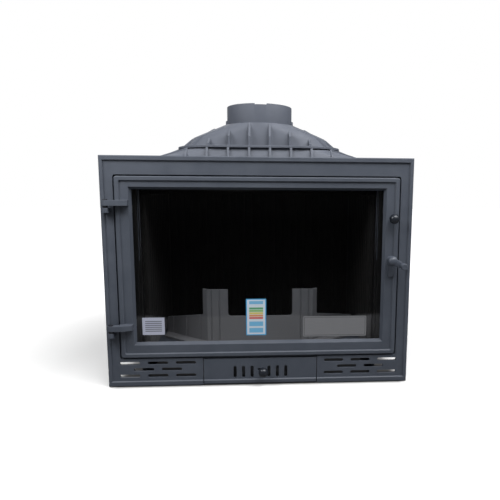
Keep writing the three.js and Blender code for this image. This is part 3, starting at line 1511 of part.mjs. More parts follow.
const bolts = new THREE.Group();
bolts.name = "bolts";
for (const [side, x] of [["left", -BOLT_X], ["right", BOLT_X]]) {
  FRAME_BOLT_HEIGHTS.forEach((z, i) => {
    const place = ["low", "high"][i];
    const mesh = piece(
      `frame_bolt_${side}_${place}`,
      bolt(FLANGE_THICKNESS + FRAME_BOLT_BITE),
      zincSteel,
      [x, BODY_FRONT + FLANGE_THICKNESS, z]
    );
    mesh.rotation.x = -Math.PI / 2;
    bolts.add(mesh);
  });
  SIDE_BOLT_DEPTHS.forEach((y, i) => {
    const place = ["front", "rear"][i];
    const hoodGrip = RIM_THICKNESS + FLANGE_THICKNESS + BOLT_TAIL;
    const hoodSeat = [x, y, RIM_TOP];
    bolts.add(piece(`hood_bolt_${side}_${place}`, bolt(hoodGrip), zincSteel, hoodSeat));
    const baseGrip = FLANGE_THICKNESS + HEARTH_THICKNESS + BOLT_TAIL;
    const baseSeat = [x, y, WALL_BOTTOM + FLANGE_THICKNESS];
    bolts.add(piece(`base_bolt_${side}_${place}`, bolt(baseGrip), zincSteel, baseSeat));
  });
}
collarBoltPlaces().forEach(([x, y], i) => {
  const grip = COLLAR_FLANGE_THICKNESS + HOOD_WALL;
  const seat = [x, y, HOOD_TOP + GAP + COLLAR_FLANGE_THICKNESS];
  bolts.add(piece(`collar_bolt_${i + 1}`, bolt(grip), zincSteel, seat));
});
insert.add(bolts);

const door = new THREE.Group();
door.name = "door";
door.add(piece("door_frame", doorFrame(), paintedIron));
door.add(piece("door_glass", doorGlass(), ceramicGlass));
door.add(piece("door_rope_seal", ropeSeal(), ropeGrey));
for (const [side, x] of [["left", -clipX()], ["right", clipX()]]) {
  CLIP_HEIGHTS.forEach((z, i) => {
    const place = ["low", "high"][i];
    const body = x < 0 ? mirrored(glassClip()) : glassClip();
    const seat = [x, DOOR_THICKNESS, z];
    door.add(piece(`glass_clip_${side}_${place}`, body, zincSteel, seat));
    door.add(piece(`clip_screw_${side}_${place}`, clipScrew(), zincSteel, seat));
  });
}
const pullKnob = ballKnob(
  PULL_RADIUS,
  PULL_REACH,
  PULL_NECK_RADIUS,
  -BEAD_HEIGHT - GAP,
  PULL_STUD_RADIUS,
  PULL_STUD_LENGTH
);
door.add(piece("door_pull_knob", pullKnob, knobIron, [DOOR_HALF - PULL_INSET, 0, PULL_HEIGHT]));
insert.add(door);

const latch = new THREE.Group();
latch.name = "latch";
latch.position.set(LATCH_X, -PAD_HEIGHT, LATCH_HEIGHT);
const lever = piece("latch_lever", latchLever(), knobIron);
lever.rotation.y = THREE.MathUtils.degToRad(-LEVER_ANGLE);
latch.add(lever);
latch.add(piece("latch_grip", latchGrip(), knobIron, [
  GRIP_X - LATCH_X,
  LEVER_FRONT + PAD_HEIGHT,
  GRIP_Z - LATCH_HEIGHT,
]));
latch.add(piece("latch_spindle", latchSpindle(), zincSteel));
latch.add(piece("latch_tongue", latchTongue(), zincSteel));
latch.add(piece("latch_nut", latchNut(), zincSteel));
insert.add(latch);

const drawer = new THREE.Group();
drawer.name = "drawer";
drawer.add(piece("drawer_front", drawerFront(), paintedIron));
drawer.add(piece("ash_pan", ashPan(), sheetSteel));
drawer.add(piece("slide_guide_upper", slideGuide(SLIDE_TOP, 1), sheetSteel));
drawer.add(piece("slide_guide_lower", slideGuide(SLIDE_BOTTOM, -1), sheetSteel));
for (const [side, x] of [["left", -DRAWER_BOSS_X], ["right", DRAWER_BOSS_X]]) {
  const seat = [x, PAN_FRONT + PAN_SHEET, DRAWER_BOSS_HEIGHT];
  drawer.add(piece(`drawer_screw_${side}`, drawerScrew(), zincSteel, seat));
}
insert.add(drawer);

const air = new THREE.Group();
air.name = "air_control";
air.add(piece("air_slide", airSlide(), sheetSteel));
const airKnob = ballKnob(
  AIR_KNOB_RADIUS,
  AIR_KNOB_REACH,
  AIR_STEM_RADIUS,
  0,
  AIR_STEM_RADIUS,
  SLIDE_BACK
);
air.add(piece("air_knob", airKnob, knobIron, [AIR_KNOB_X, 0, AIR_KNOB_HEIGHT]));
insert.add(air);

export default insert;
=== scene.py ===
from math import acos, asin, atan2, cos, degrees, pi, radians, sin, sqrt

import bmesh
import bpy
from mathutils import Matrix, Vector


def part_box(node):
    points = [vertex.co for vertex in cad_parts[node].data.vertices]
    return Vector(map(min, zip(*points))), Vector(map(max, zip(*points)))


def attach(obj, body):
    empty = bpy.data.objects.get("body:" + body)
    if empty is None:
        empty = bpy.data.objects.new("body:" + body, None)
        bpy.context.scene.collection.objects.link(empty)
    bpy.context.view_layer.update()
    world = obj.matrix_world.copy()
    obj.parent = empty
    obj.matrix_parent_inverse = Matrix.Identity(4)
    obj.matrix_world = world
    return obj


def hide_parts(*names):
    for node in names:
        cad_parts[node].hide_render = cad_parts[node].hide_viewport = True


# A cast-iron fireplace insert in its studio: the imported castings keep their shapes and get
# their finishes here, and the turned, lofted and printed pieces are modelled on top of them.

# ---- Measures, in metres ----

MM = 0.001

CAMERA_PLACE = (0, -1.4375, 0.4953)
CAMERA_PITCH = 8.208
CAMERA_YAW = 4.14
CAMERA_ROLL = 0.357
CAMERA_LENS = 36
CAMERA_SENSOR = 36
CAMERA_SHIFT = (-0.0918, 0.024)

EDGE_ROUND = 0.7 * MM
FINE_ROUND = 0.3 * MM
EDGE_ANGLE = 28
SMALL_NODE = 0.1
MERGE = 0.01 * MM

RIM_HEIGHT = 8 * MM
RIM_REACH = 16 * MM
HOOD_WALL = 8 * MM
FOOT_CORNER = 60 * MM
WAIST_RISE = 40 * MM
WAIST_HALF = 207 * MM
WAIST_INSET = 16 * MM
WAIST_CORNER = 105 * MM
SHOULDER_INSET = 47 * MM
SHOULDER_SIDE = 3 * MM
SHOULDER_CORNER = 95 * MM
BROW_HALF = 180 * MM
BROW_INSET = 6 * MM
BROW_CORNER = 97 * MM
BROW_DROP = 34 * MM
CROWN_RADIUS = 100 * MM
FLUE_BORE = 70 * MM
RIB_PITCH = 52 * MM
# Ribs on each half of the front and the back, and of each side.
FRONT_RIBS = 4
SIDE_RIBS = 3
RIB_HALF = 3 * MM
RIB_REACH = 8 * MM
FIN_SETBACK = 29 * MM
# A front fin's knee height, and its end's distance from the flue and height, in millimetres,
# for each fin from the middle outwards. Heights are above the hood's waist.
FRONT_FINS = ((32, 98, 69), (32, 80, 52), (14, 82, 30))
# A side fin's edge as distances from the flue and heights above the waist.
SIDE_FINS = (
    ((211, 9), (206, 13), (183, 32), (153, 44), (124, 60), (102, 60)),
    ((184, 9), (176, 17), (160, 32), (134, 43), (104, 54), (78, 58)),
)
FIN_SINK = 4 * MM
HOOP_HEIGHT = 6 * MM

COLLAR_WALL = 6 * MM
LUG_HEIGHT = 18 * MM
LUG_REACH = 4 * MM
LUG_WIDTH = 44 * MM
COLLAR_FLANGE = 6 * MM
NOTCH_WIDTH = 31 * MM
NOTCH_SHIFT = 3 * MM
NOTCH_DEPTH = 3 * MM
COLLAR_EDGE = 1.2 * MM
COLLAR_STEPS = 144

CORNER_STEPS = 14
SIDE_STEPS = 5
QUARTER_STEPS = CORNER_STEPS + 2 * SIDE_STEPS
SLOPE_STEPS = 10
FIN_STEPS = 8
RIB_ROUND = 1 * MM
HOOP_ROUND = 0.8 * MM
RIM_ROUND = 1.5 * MM
SHARP_ANGLE = 35
FITTING_SHARP = 25
ROPE_SHARP = 80

ROUND_STEPS = 40
DRILL_STEPS = 24
BOLT_HEAD = 5.8 * MM
HEAD_HEIGHT = 4 * MM
BOLT_FACE = 0.3 * MM
BOLT_CHAMFER = 0.9 * MM
BOLT_SHANK = 3 * MM
BOLT_HOLE = 3.3 * MM
BOLT_SEAT = 6.4 * MM
THREAD_PITCH = 1.25 * MM
THREAD_DEPTH = 0.45 * MM
SCREW_SHANK = 1.9 * MM
SCREW_HEAD = 2.4 * MM
SCREW_RIM = 0.35
SLOT_HALF = 0.45 * MM
SLOT_REACH = 0.55
SLOT_DEPTH = 1.1 * MM
PIN_HEAD = 2.5 * MM
PIN_RIM = 0.4
PIN_SHANK = 4 * MM
WASHER_EDGE = 0.5 * MM
GAP = 0.3 * MM

HUB_RADIUS = 12.5 * MM
HUB_HEIGHT = 27 * MM
HUB_DOME = 9 * MM
HUB_DOME_STEPS = 12
HUB_NECK = 8 * MM
HUB_NECK_HEIGHT = 8 * MM
LEVER_ROOT = 9 * MM
LEVER_TIP = 7 * MM
LEVER_THICK = 11 * MM
LEVER_ROUND = 2 * MM
GRIP_STUD = 3 * MM
STUD_LENGTH = 14 * MM
GRIP_EDGE = 1.4 * MM
GRIP_GROOVE = 0.5 * MM
KNOB_RADIUS = 12.4 * MM
KNOB_FOOT_RISE = 1.8 * MM
KNOB_ROUND = 0.6 * MM
# The radii of a knob's neck and foot, the place of its seat, and the radius of its stud.
PULL_KNOB = (5 * MM, 6.5 * MM, 28.2 * MM, 3 * MM)
AIR_KNOB = (2.5 * MM, 2.5 * MM, 36.5 * MM, 2.5 * MM)

ROPE_WIDTH = 6 * MM
ROPE_CORNER = 9 * MM
ROPE_CORNER_STEPS = 10
ROPE_STEP = 1.6 * MM
ROPE_SIDES = 18
ROPE_STRANDS = 3
ROPE_TWIST = 15 * MM
STRAND_DEPTH = 0.14

FLOOR_REACH = 12
# The floor's own colour for all but the camera, and its glow near the object and far off.
FLOOR_BOUNCE = 0.2
FLOOR_GLOW = 0.15
FLOOR_NEAR = 0.55
FLOOR_FAR = 1.5
# The soft shade of the floor under the object and close beside it.
SHADE_TONE = (44, 44, 46)
SHADE_HALF = 0.325
SHADE_CORNER = 0.04
SHADE_CORNER_END = 0.05
SHADE_LIMIT = 0.385
SHADE_LIMIT_FADE = 0.025
SHADE_FRONT = -0.2
SHADE_BACK = 0.18
SHADE_FADE = 0.07
SHADE_DEPTH = 0.93
WORLD_LIGHT = 0.2
# Each lamp's name, its place and aim, its width and depth, and its power.
SOFTBOXES = (
    ("left_softbox", (-0.75, -0.7, 1.1), (-0.2, -0.25, 0.5), 0.6, 0.5, 7.5),
    ("high_softbox", (0.45, -0.9, 1.7), (0, -0.1, 0.5), 1.1, 0.75, 21.5),
    ("right_softbox", (1, -0.5, 1.3), (0, 0, 0.6), 0.7, 0.7, 7.5),
    ("back_softbox", (-0.6, 1.7, 1.3), (0, 0, 0.35), 1.2, 0.9, 6),
)

# Where the fire room's painted shade and painted light lie: the door's rebate, the room behind
# it, the heights at which the painted shade begins and ends, and the height of the painted
# light, where light comes in through the glass, which falls away from the door.
REBATE_FRONT = -0.192
REBATE_BACK = -0.1727
REBATE_HALF = 0.34
ROOM_BACK = 0.191
ROOM_HALF = 0.3
PAINTED_SHADE_FROM = (0.0745, 0.08)
PAINTED_SHADE_TO = (0.508, 0.522)
PAINTED_LIGHT_HEIGHT = 0.176
PAINTED_LIGHT_START = 0.19
PAINTED_LIGHT_SLOPE = 0.27
PAINTED_LIGHT_UNEVEN = 0.012
PAINTED_LIGHT_FADE = 0.008
DUST_TONE = (150, 152, 158)
# Painted shade: near black, for the dark fire room behind the glass.
PAINTED_SHADE_TONE = (5, 5, 5)
# Painted light: pale grey, for the light through the glass low near the door.
PAINTED_LIGHT_TONE = (130, 131, 135)

CARD_THICK = 0.2 * MM
CARD_GAP = 0.1 * MM
CARD_CORNER = 1.5 * MM
CARD_CORNER_STEPS = 5
STEEL_CORNER = 3 * MM
# Left, right, bottom and top of the cards on the glass, and then what is on each.
WHITE_CARD = (-295 * MM, -240 * MM, 131.6 * MM, 176 * MM)
BAND_CARD = (-36 * MM, 15 * MM, 127 * MM, 222 * MM)
STEEL_CARD = (109.5 * MM, 273.6 * MM, 121.6 * MM, 175 * MM)
BAR_MARGIN = 7 * MM
BAR_PITCH = 5 * MM
BAND_BORDER = 2.5 * MM
BAND_MARGIN = 8 * MM
BANDS_ABOVE = 42 * MM
BANDS_BELOW = 22 * MM
BAND_TONES = ((196, 92, 84), (206, 142, 92), (204, 192, 100), (128, 178, 104), (84, 156, 108))
LINE_MARGIN = 3 * MM
LINE_WIDTH = 0.7 * MM

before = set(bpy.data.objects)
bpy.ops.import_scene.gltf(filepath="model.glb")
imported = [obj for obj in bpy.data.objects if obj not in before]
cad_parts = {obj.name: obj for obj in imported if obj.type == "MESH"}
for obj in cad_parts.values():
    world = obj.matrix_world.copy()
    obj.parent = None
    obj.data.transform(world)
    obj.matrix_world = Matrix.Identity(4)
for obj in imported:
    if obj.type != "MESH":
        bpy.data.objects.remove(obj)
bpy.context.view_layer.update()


def new_object(name, data):
    made = bpy.data.objects.new(name, data)
    bpy.context.scene.collection.objects.link(made)
    return made


# ---- Camera ----


def place_camera():
    pitch, yaw, roll = (radians(a) for a in (CAMERA_PITCH, CAMERA_YAW, CAMERA_ROLL))
    ahead = Vector((sin(yaw) * cos(pitch), cos(yaw) * cos(pitch), -sin(pitch)))
    level_right = Vector((cos(yaw), -sin(yaw), 0))
    level_up = level_right.cross(ahead)
    right = level_right * cos(roll) + level_up * sin(roll)
    up = right.cross(ahead)
    data = bpy.data.cameras.new("camera")
    data.lens = CAMERA_LENS
    data.sensor_width = CAMERA_SENSOR
    data.shift_x, data.shift_y = CAMERA_SHIFT
    camera = new_object("camera", data)
    turn = Matrix((right, up, -ahead)).transposed().to_4x4()
    camera.matrix_world = Matrix.Translation(CAMERA_PLACE) @ turn
    bpy.context.scene.camera = camera


place_camera()

# ---- Node helpers ----


def tone(colour):
    """A colour given as it looks on a screen, from 0 to 255, as the shader's linear values."""
    values = []
    for part in colour:
        share = part / 255
        values.append(share / 12.92 if share <= 0.04045 else ((share + 0.055) / 1.055) ** 2.4)
    return (*values, 1)


def wire(tree, node, sockets):
    """Gives a node's sockets a number, a colour, or another node's output."""
    for name, value in sockets.items():
        if isinstance(value, bpy.types.NodeSocket):
            tree.links.new(value, node.inputs[name])
        else:
            node.inputs[name].default_value = value


def add(tree, kind, sockets=None, **settings):
    made = tree.nodes.new(kind)
    for name, value in settings.items():
        setattr(made, name, value)
    wire(tree, made, sockets or {})
    return made


def math_of(tree, operation, first, second=0):
    return add(tree, "ShaderNodeMath", {0: first, 1: second}, operation=operation).outputs[0]


def product(tree, first, *others):
    for other in others:
        first = math_of(tree, "MULTIPLY", first, other)
    return first


def ranged(tree, value, low, high, to_low=0, to_high=1):
    """A value from one range carried into another, and held inside it."""
    sockets = {"Value": value, "From Min": low, "From Max": high}
    sockets |= {"To Min": to_low, "To Max": to_high}
    return add(tree, "ShaderNodeMapRange", sockets).outputs["Result"]


def mixed(tree, factor, first, second):
    """Two colours mixed by a factor. One of three parts is as it looks on a screen."""
    ends = [tone(e) if isinstance(e, tuple) and len(e) == 3 else e for e in (first, second)]
    sockets = {0: factor, 6: ends[0], 7: ends[1]}
    return add(tree, "ShaderNodeMix", sockets, data_type="RGBA").outputs[2]


def inside(tree, value, low, high):
    """1 where a value lies between two limits, else 0."""
    above = math_of(tree, "GREATER_THAN", value, low)
    return product(tree, above, math_of(tree, "LESS_THAN", value, high))


def place_in(tree):
    return add(tree, "ShaderNodeTexCoord").outputs["Object"]


def parts_of(tree, vector):
    """The X, Y and Z of a vector."""
    return tuple(add(tree, "ShaderNodeSeparateXYZ", {"Vector": vector}).outputs)


def noise(tree, place, scale, detail, roughness=0.5):
    sockets = {"Vector": place, "Scale": scale, "Detail": detail, "Roughness": roughness}
    return add(tree, "ShaderNodeTexNoise", sockets).outputs["Fac"]


def bump(tree, strength, distance, height):
    sockets = {"Strength": strength, "Distance": distance, "Height": height}
    return add(tree, "ShaderNodeBump", sockets).outputs["Normal"]


def shader_group(name, inputs, outputs):
    """An empty node group with float inputs and outputs, its inputs' sockets and its end."""
    group = bpy.data.node_groups.new(name, "ShaderNodeTree")
    for label, default in inputs.items():
        socket = group.interface.new_socket(label, in_out="INPUT", socket_type="NodeSocketFloat")
        socket.default_value = default
    for label in outputs:
        group.interface.new_socket(label, in_out="OUTPUT", socket_type="NodeSocketFloat")
    given = group.nodes.new("NodeGroupInput").outputs
    return group, given, group.nodes.new("NodeGroupOutput")


def grain_group():
    """The skin of a sand casting under paint: fine grain, small pits, and slow blotches."""
    inputs = {"Grain": 900, "Blotch": 30, "Pits": 0.5}
    tree, given, out = shader_group("cast_grain", inputs, ("Height", "Blotches"))
    place = place_in(tree)
    fine = noise(tree, place, given["Grain"], 4, 0.65)
    cell_scale = product(tree, given["Grain"], 0.3)
    cells = add(tree, "ShaderNodeTexVoronoi", {"Vector": place, "Scale": cell_scale})
    pits = ranged(tree, cells.outputs["Distance"], 0, 0.35)
    height = math_of(tree, "ADD", fine, product(tree, pits, given["Pits"]))
    blotches = noise(tree, place, given["Blotch"], 5, 0.6)
    wire(tree, out, {"Height": height, "Blotches": blotches})
    return tree


def wear_and_highlight_group():
    """Where paint rubs off, and where its paler tone is also a painted highlight: outer edges,
    broken up by noise.
    """
    inputs = {"Radius": 0.0015, "Breakup": 120, "Amount": 1}
    tree, given, out = shader_group("edge_wear_and_highlight", inputs, ("Mask",))
    geometry = add(tree, "ShaderNodeNewGeometry")
    bevel = add(tree, "ShaderNodeBevel", {"Radius": given["Radius"]}, samples=4)
    normals = {0: bevel.outputs["Normal"], 1: geometry.outputs["Normal"]}
    dot = add(tree, "ShaderNodeVectorMath", normals, operation="DOT_PRODUCT")
    edge = ranged(tree, math_of(tree, "SUBTRACT", 1, dot.outputs["Value"]), 0.02, 0.2)
    reach = product(tree, given["Radius"], 4)
    open_sky = add(tree, "ShaderNodeAmbientOcclusion", {"Distance": reach}, samples=4)
    outside = ranged(tree, open_sky.outputs["AO"], 0.55, 0.85)
    breakup = noise(tree, place_in(tree), given["Breakup"], 6, 0.7)
    broken = ranged(tree, breakup, 0.35, 0.65)
    wire(tree, out, {"Mask": product(tree, edge, outside, broken, given["Amount"])})
    return tree


def dust_group():
    """What settles on faces that look up, and gathers in patches."""
    inputs = {"Patch": 14, "Amount": 1}
    tree, given, out = shader_group("settled_dust", inputs, ("Mask",))
    geometry = add(tree, "ShaderNodeNewGeometry")
    upward = ranged(tree, parts_of(tree, geometry.outputs["Normal"])[2], 0.3, 1)
    patches = ranged(tree, noise(tree, place_in(tree), given["Patch"], 7, 0.7), 0.35, 0.7)
    wire(tree, out, {"Mask": product(tree, upward, patches, given["Amount"])})
    return tree


def chamber_group():
    """Where the fire's side begins: painted shade behind the glass, and painted light low near
    the door.
    """
    tree, _, out = shader_group("fire_side", {}, ("Painted Shade", "Ash"))
    place = place_in(tree)
    x, y, z = parts_of(tree, place)
    across = math_of(tree, "ABSOLUTE", x)
    rebate = inside(tree, y, REBATE_FRONT, REBATE_BACK)
    rebate = product(tree, rebate, math_of(tree, "LESS_THAN", across, REBATE_HALF))
    room = inside(tree, y, REBATE_BACK, ROOM_BACK)
    room = product(tree, room, math_of(tree, "LESS_THAN", across, ROOM_HALF))
    above = ranged(tree, z, *PAINTED_SHADE_FROM)
    below = ranged(tree, z, *PAINTED_SHADE_TO, 1, 0)
    soot_and_shade = product(tree, math_of(tree, "MAXIMUM", rebate, room), product(tree, above, below))
    uneven = product(tree, noise(tree, place, 30, 5), PAINTED_LIGHT_UNEVEN)
    lower = product(tree, math_of(tree, "ADD", y, PAINTED_LIGHT_START), PAINTED_LIGHT_SLOPE)
    line = math_of(tree, "SUBTRACT", PAINTED_LIGHT_HEIGHT, lower)
    over = math_of(tree, "SUBTRACT", math_of(tree, "SUBTRACT", z, uneven), line)
    painted_light = ranged(tree, over, -PAINTED_LIGHT_FADE, 0, 1, 0)
    wire(tree, out, {"Painted Shade": soot_and_shade, "Ash": painted_light})
    return tree


GRAIN = grain_group()
WEAR_AND_HIGHLIGHT = wear_and_highlight_group()
DUST = dust_group()
CHAMBER = chamber_group()


def use_group(tree, group, **values):
    return add(tree, "ShaderNodeGroup", values, node_tree=group).outputs


FINISHES = {}


def new_finish(name):
    """A material's tree and its Principled shader. FINISHES has the material by this name."""
    FINISHES[name] = bpy.data.materials.new(name)
    FINISHES[name].use_nodes = True
    tree = FINISHES[name].node_tree
    return tree, tree.nodes["Principled BSDF"]


def surface(tree, shader, colour, rough, relief, metallic=0):
    sockets = {"Base Color": colour, "Roughness": rough, "Normal": relief}
    wire(tree, shader, sockets | {"Metallic": metallic})


# ---- Finishes ----


def cast_paint(name, colours, roughness, grain, wear_and_highlight, dust=0, metallic=0, soot_and_shade=0, painted_light=0):
    """Stove paint on cast iron: blotchy, paler on its edges where it rubs off, partly as painted
    highlights, dusty on top.
    """
    colour, pale, worn_and_highlit = colours
    tree, shader = new_finish(name)
    skin = use_group(tree, GRAIN, Grain=grain, Blotch=22, Pits=0.5)
    rubbed_and_highlit = use_group(tree, WEAR_AND_HIGHLIGHT, Radius=0.0016, Breakup=90, Amount=wear_and_highlight)
    settled = use_group(tree, DUST, Patch=12, Amount=dust)
    paint = mixed(tree, ranged(tree, skin["Blotches"], 0.3, 0.7), colour, pale)
    paint = mixed(tree, rubbed_and_highlit["Mask"], paint, worn_and_highlit)
    paint = mixed(tree, settled["Mask"], paint, DUST_TONE)
    # Painted shade behind the glass, and painted light low near the door where light comes
    # through it; on a casting that gets the painted shade, the painted light stays where that
    # shade is.
    if soot_and_shade or painted_light:
        chamber = use_group(tree, CHAMBER)
        paint = mixed(tree, product(tree, chamber["Painted Shade"], soot_and_shade), paint, PAINTED_SHADE_TONE)
        grey = product(tree, chamber["Ash"], painted_light)
        if soot_and_shade:
            grey = product(tree, chamber["Painted Shade"], grey)
        paint = mixed(tree, grey, paint, PAINTED_LIGHT_TONE)
    rough = ranged(tree, skin["Blotches"], 0.3, 0.7, roughness - 0.06, roughness + 0.08)
    relief = bump(tree, 0.35, 0.25 * MM, skin["Height"])
    surface(tree, shader, paint, rough, relief, metallic)


def bare_metal(name, colour, stain, roughness, grain):
    """Plated or blued steel, with fine marks and a few stains."""
    tree, shader = new_finish(name)
    skin = use_group(tree, GRAIN, Grain=grain, Blotch=60, Pits=0.1)
    stains = ranged(tree, skin["Blotches"], 0.45, 0.7)
    steel = mixed(tree, stains, colour, stain)
    rough = ranged(tree, skin["Blotches"], 0.3, 0.7, roughness, roughness + 0.2)
    relief = bump(tree, 0.2, 0.05 * MM, skin["Height"])
    surface(tree, shader, steel, rough, relief, 1)


def woven_rope(name, colour, shade):
    """Glass-fibre rope: matt, with fine cross threads and sooty grey patches."""
    tree, shader = new_finish(name)
    skin = use_group(tree, GRAIN, Grain=1600, Blotch=70, Pits=0.3)
    sockets = {"Vector": place_in(tree), "Scale": 420, "Distortion": 3, "Detail": 2}
    waves = add(tree, "ShaderNodeTexWave", sockets, bands_direction="DIAGONAL")
    threads = waves.outputs["Fac"]
    soot_and_shade = ranged(tree, skin["Blotches"], 0.35, 0.65)
    relief = bump(tree, 0.6, 0.2 * MM, math_of(tree, "ADD", threads, skin["Height"]))
    rough = ranged(tree, threads, 0, 1, 0.85, 0.98)
    surface(tree, shader, mixed(tree, soot_and_shade, colour, shade), rough, relief)


def window_glass(name):
    """Ceramic glass that light passes straight through, with a dark, faintly warm tint that is
    painted shade over the fire room behind it.
    """
    tree, shader = new_finish(name)
    haze = noise(tree, place_in(tree), 6, 4)
    wire(tree, shader, {
        "Roughness": ranged(tree, haze, 0.35, 0.75, 0.03, 0.12),
        "Base Color": mixed(tree, haze, (4, 4, 5), (9, 9, 9)),
        "Alpha": 0.15,
        "Specular IOR Level": 0.15,
    })


def within(tree, x, z, sides, inset):
    """1 inside a card's sides less an inset, else 0."""
    left, right, bottom, top = sides
    across = inside(tree, x, left + inset, right - inset)
    return product(tree, across, inside(tree, z, bottom + inset, top - inset))


def coated_paper(name, roughness):
    """A paper material to print on, its fibres, and the places across and up it."""
    tree, shader = new_finish(name)
    place = place_in(tree)
    fibre = noise(tree, place, 1500, 3)
    rough = ranged(tree, fibre, 0.3, 0.7, roughness, roughness + 0.15)
    wire(tree, shader, {"Roughness": rough, "Normal": bump(tree, 0.1, 0.02 * MM, fibre)})
    x, _, z = parts_of(tree, place)
    return tree, shader, fibre, x, z


def white_paper(name):
    """Coated paper with a plain panel of even grey bars."""
    tree, shader, fibre, x, z = coated_paper(name, 0.35)
    paper = mixed(tree, fibre, (168, 172, 190), (184, 188, 204))
    wave = math_of(tree, "FRACT", product(tree, z, 1 / BAR_PITCH))
    bars = math_of(tree, "LESS_THAN", wave, 0.5)
    print_mask = product(tree, within(tree, x, z, WHITE_CARD, BAR_MARGIN), bars)
    paper = mixed(tree, print_mask, paper, (104, 107, 118))
    wire(tree, shader, {"Base Color": paper})


def banded_paper(name):
    """Coated paper with a light-blue border and plain bands of colour."""
    left, right, bottom, top = BAND_CARD
    low, high = bottom + BANDS_ABOVE, top - BANDS_BELOW
    tree, shader, fibre, x, z = coated_paper(name, 0.3)
    blue = mixed(tree, fibre, (58, 152, 208), (70, 164, 218))
    white = mixed(tree, fibre, (196, 208, 220), (208, 218, 228))
    paper = mixed(tree, within(tree, x, z, BAND_CARD, BAND_BORDER), blue, white)
    share = ranged(tree, z, low, high)
    ramp = add(tree, "ShaderNodeValToRGB", {"Fac": share})
    ramp.color_ramp.interpolation = "CONSTANT"
    stops = ramp.color_ramp.elements
    while len(stops) < len(BAND_TONES):
        stops.new(0.5)
    for i, colour in enumerate(BAND_TONES):
        stops[i].position = i / len(BAND_TONES)
        stops[i].color = tone(colour)
    wave = math_of(tree, "FRACT", product(tree, share, len(BAND_TONES)))
    middle = inside(tree, x, left + BAND_MARGIN, right - BAND_MARGIN)
    mask = product(tree, middle, inside(tree, z, low, high), inside(tree, wave, 0.1, 0.9))
    paper = mixed(tree, mask, paper, ramp.outputs["Color"])
    for start, end in (
        (top - 14 * MM, top - 6 * MM),
        (bottom + 24 * MM, bottom + 36 * MM),
        (bottom + 7 * MM, bottom + 19 * MM),
    ):
        panel = product(tree, middle, inside(tree, z, start, end))
        paper = mixed(tree, panel, paper, (112, 176, 214))
    wire(tree, shader, {"Base Color": paper})


def brushed_plate(name):
    """A blank silver plate, brushed along its length, with a thin darker border line."""
    tree, shader = new_finish(name)
    place = place_in(tree)
    x, _, z = parts_of(tree, place)
    stretched = add(tree, "ShaderNodeMapping", {"Vector": place, "Scale": (12, 400, 900)})
    strokes = noise(tree, stretched.outputs["Vector"], 3, 5)
    silver = mixed(tree, strokes, (136, 137, 141), (164, 165, 169))
    outer = within(tree, x, z, STEEL_CARD, LINE_MARGIN)
    inner = within(tree, x, z, STEEL_CARD, LINE_MARGIN + LINE_WIDTH)
    line = math_of(tree, "SUBTRACT", outer, inner)
    rough = ranged(tree, strokes, 0.3, 0.7, 0.36, 0.5)
    relief = bump(tree, 0.15, 0.02 * MM, strokes)
    surface(tree, shader, mixed(tree, line, silver, (60, 61, 64)), rough, relief, 0.6)


# Each painted casting's colours are its paint, its paler blotches and its paler edges, where the
# paint rubs off and which also stand in as painted highlights.
cast_paint(
    "painted_iron", ((70, 76, 87), (78, 84, 95), (116, 120, 128)),
    # The last two settings paint shade behind the glass and light low near the door.
    roughness=0.55, grain=900, wear_and_highlight=0.5, dust=0.1, soot_and_shade=0.97, painted_light=0.38,
)
# The hood's paint is lighter than the frame's: painted light for the light that falls on the
# hood from above.
cast_paint(
    "hood_iron", ((83, 88, 99), (91, 96, 107), (120, 124, 132)),
    roughness=0.62, grain=700, wear_and_highlight=0.4, dust=0.25,
)
# Near black: painted shade for the dark fire room behind the glass, with painted light low near
# the door.
cast_paint(
    "sooty_iron", ((4, 4, 4), (7, 7, 7), (14, 14, 13)),
    roughness=0.9, grain=600, wear_and_highlight=0.2, painted_light=0.7,
)
cast_paint(
    "guard_iron", ((107, 110, 116), (116, 118, 123), (134, 132, 128)),
    # The last setting paints light low near the door, where it comes through the glass.
    roughness=0.75, grain=700, wear_and_highlight=0.3, painted_light=0.8,
)
cast_paint(
    "knob_iron", ((36, 40, 48), (42, 46, 54), (80, 83, 90)),
    roughness=0.24, grain=1200, wear_and_highlight=0.3, metallic=0.2,
)
cast_paint(
    "latch_iron", ((70, 76, 87), (78, 84, 95), (110, 114, 122)),
    roughness=0.4, grain=1200, wear_and_highlight=0.3, metallic=0.05,
)
bare_metal("dark_steel", (70, 72, 78), (48, 46, 46), 0.38, 900)
bare_metal("zinc_steel", (150, 152, 155), (120, 116, 104), 0.32, 1000)
bare_metal("sheet_steel", (86, 88, 92), (66, 66, 68), 0.42, 800)
woven_rope("seal_rope", (120, 116, 108), (86, 83, 78))
window_glass("ceramic_glass")
white_paper("white_paper")
banded_paper("banded_paper")
brushed_plate("brushed_plate")

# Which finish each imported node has, by the first words of its name.
FINISH_OF = {
    "painted_iron": (
        "front_frame", "hearth_casting", "side_wall", "back_wall", "door_frame", "drawer_front",
    ),
    "hood_iron": ("smoke_hood", "flue_collar"),
    # The fire room's parts are near black: painted shade.
    "sooty_iron": ("baffle_plate", "fire_back", "liner", "fire_grate"),
    "guard_iron": ("log_guard",),
    "knob_iron": ("door_pull_knob", "latch_lever", "latch_grip", "air_knob"),
    "dark_steel": ("hinge_pin", "hinge_washer"),
    "zinc_steel": (
        "frame_bolt", "hood_bolt", "base_bolt", "collar_bolt", "glass_clip", "clip_screw",
        "latch_spindle", "latch_tongue", "latch_nut", "drawer_screw",
    ),
    "sheet_steel": ("ash_box", "ash_pan", "slide_guide", "air_slide"),
    "seal_rope": ("door_rope_seal",),
    "ceramic_glass": ("door_glass",),
}

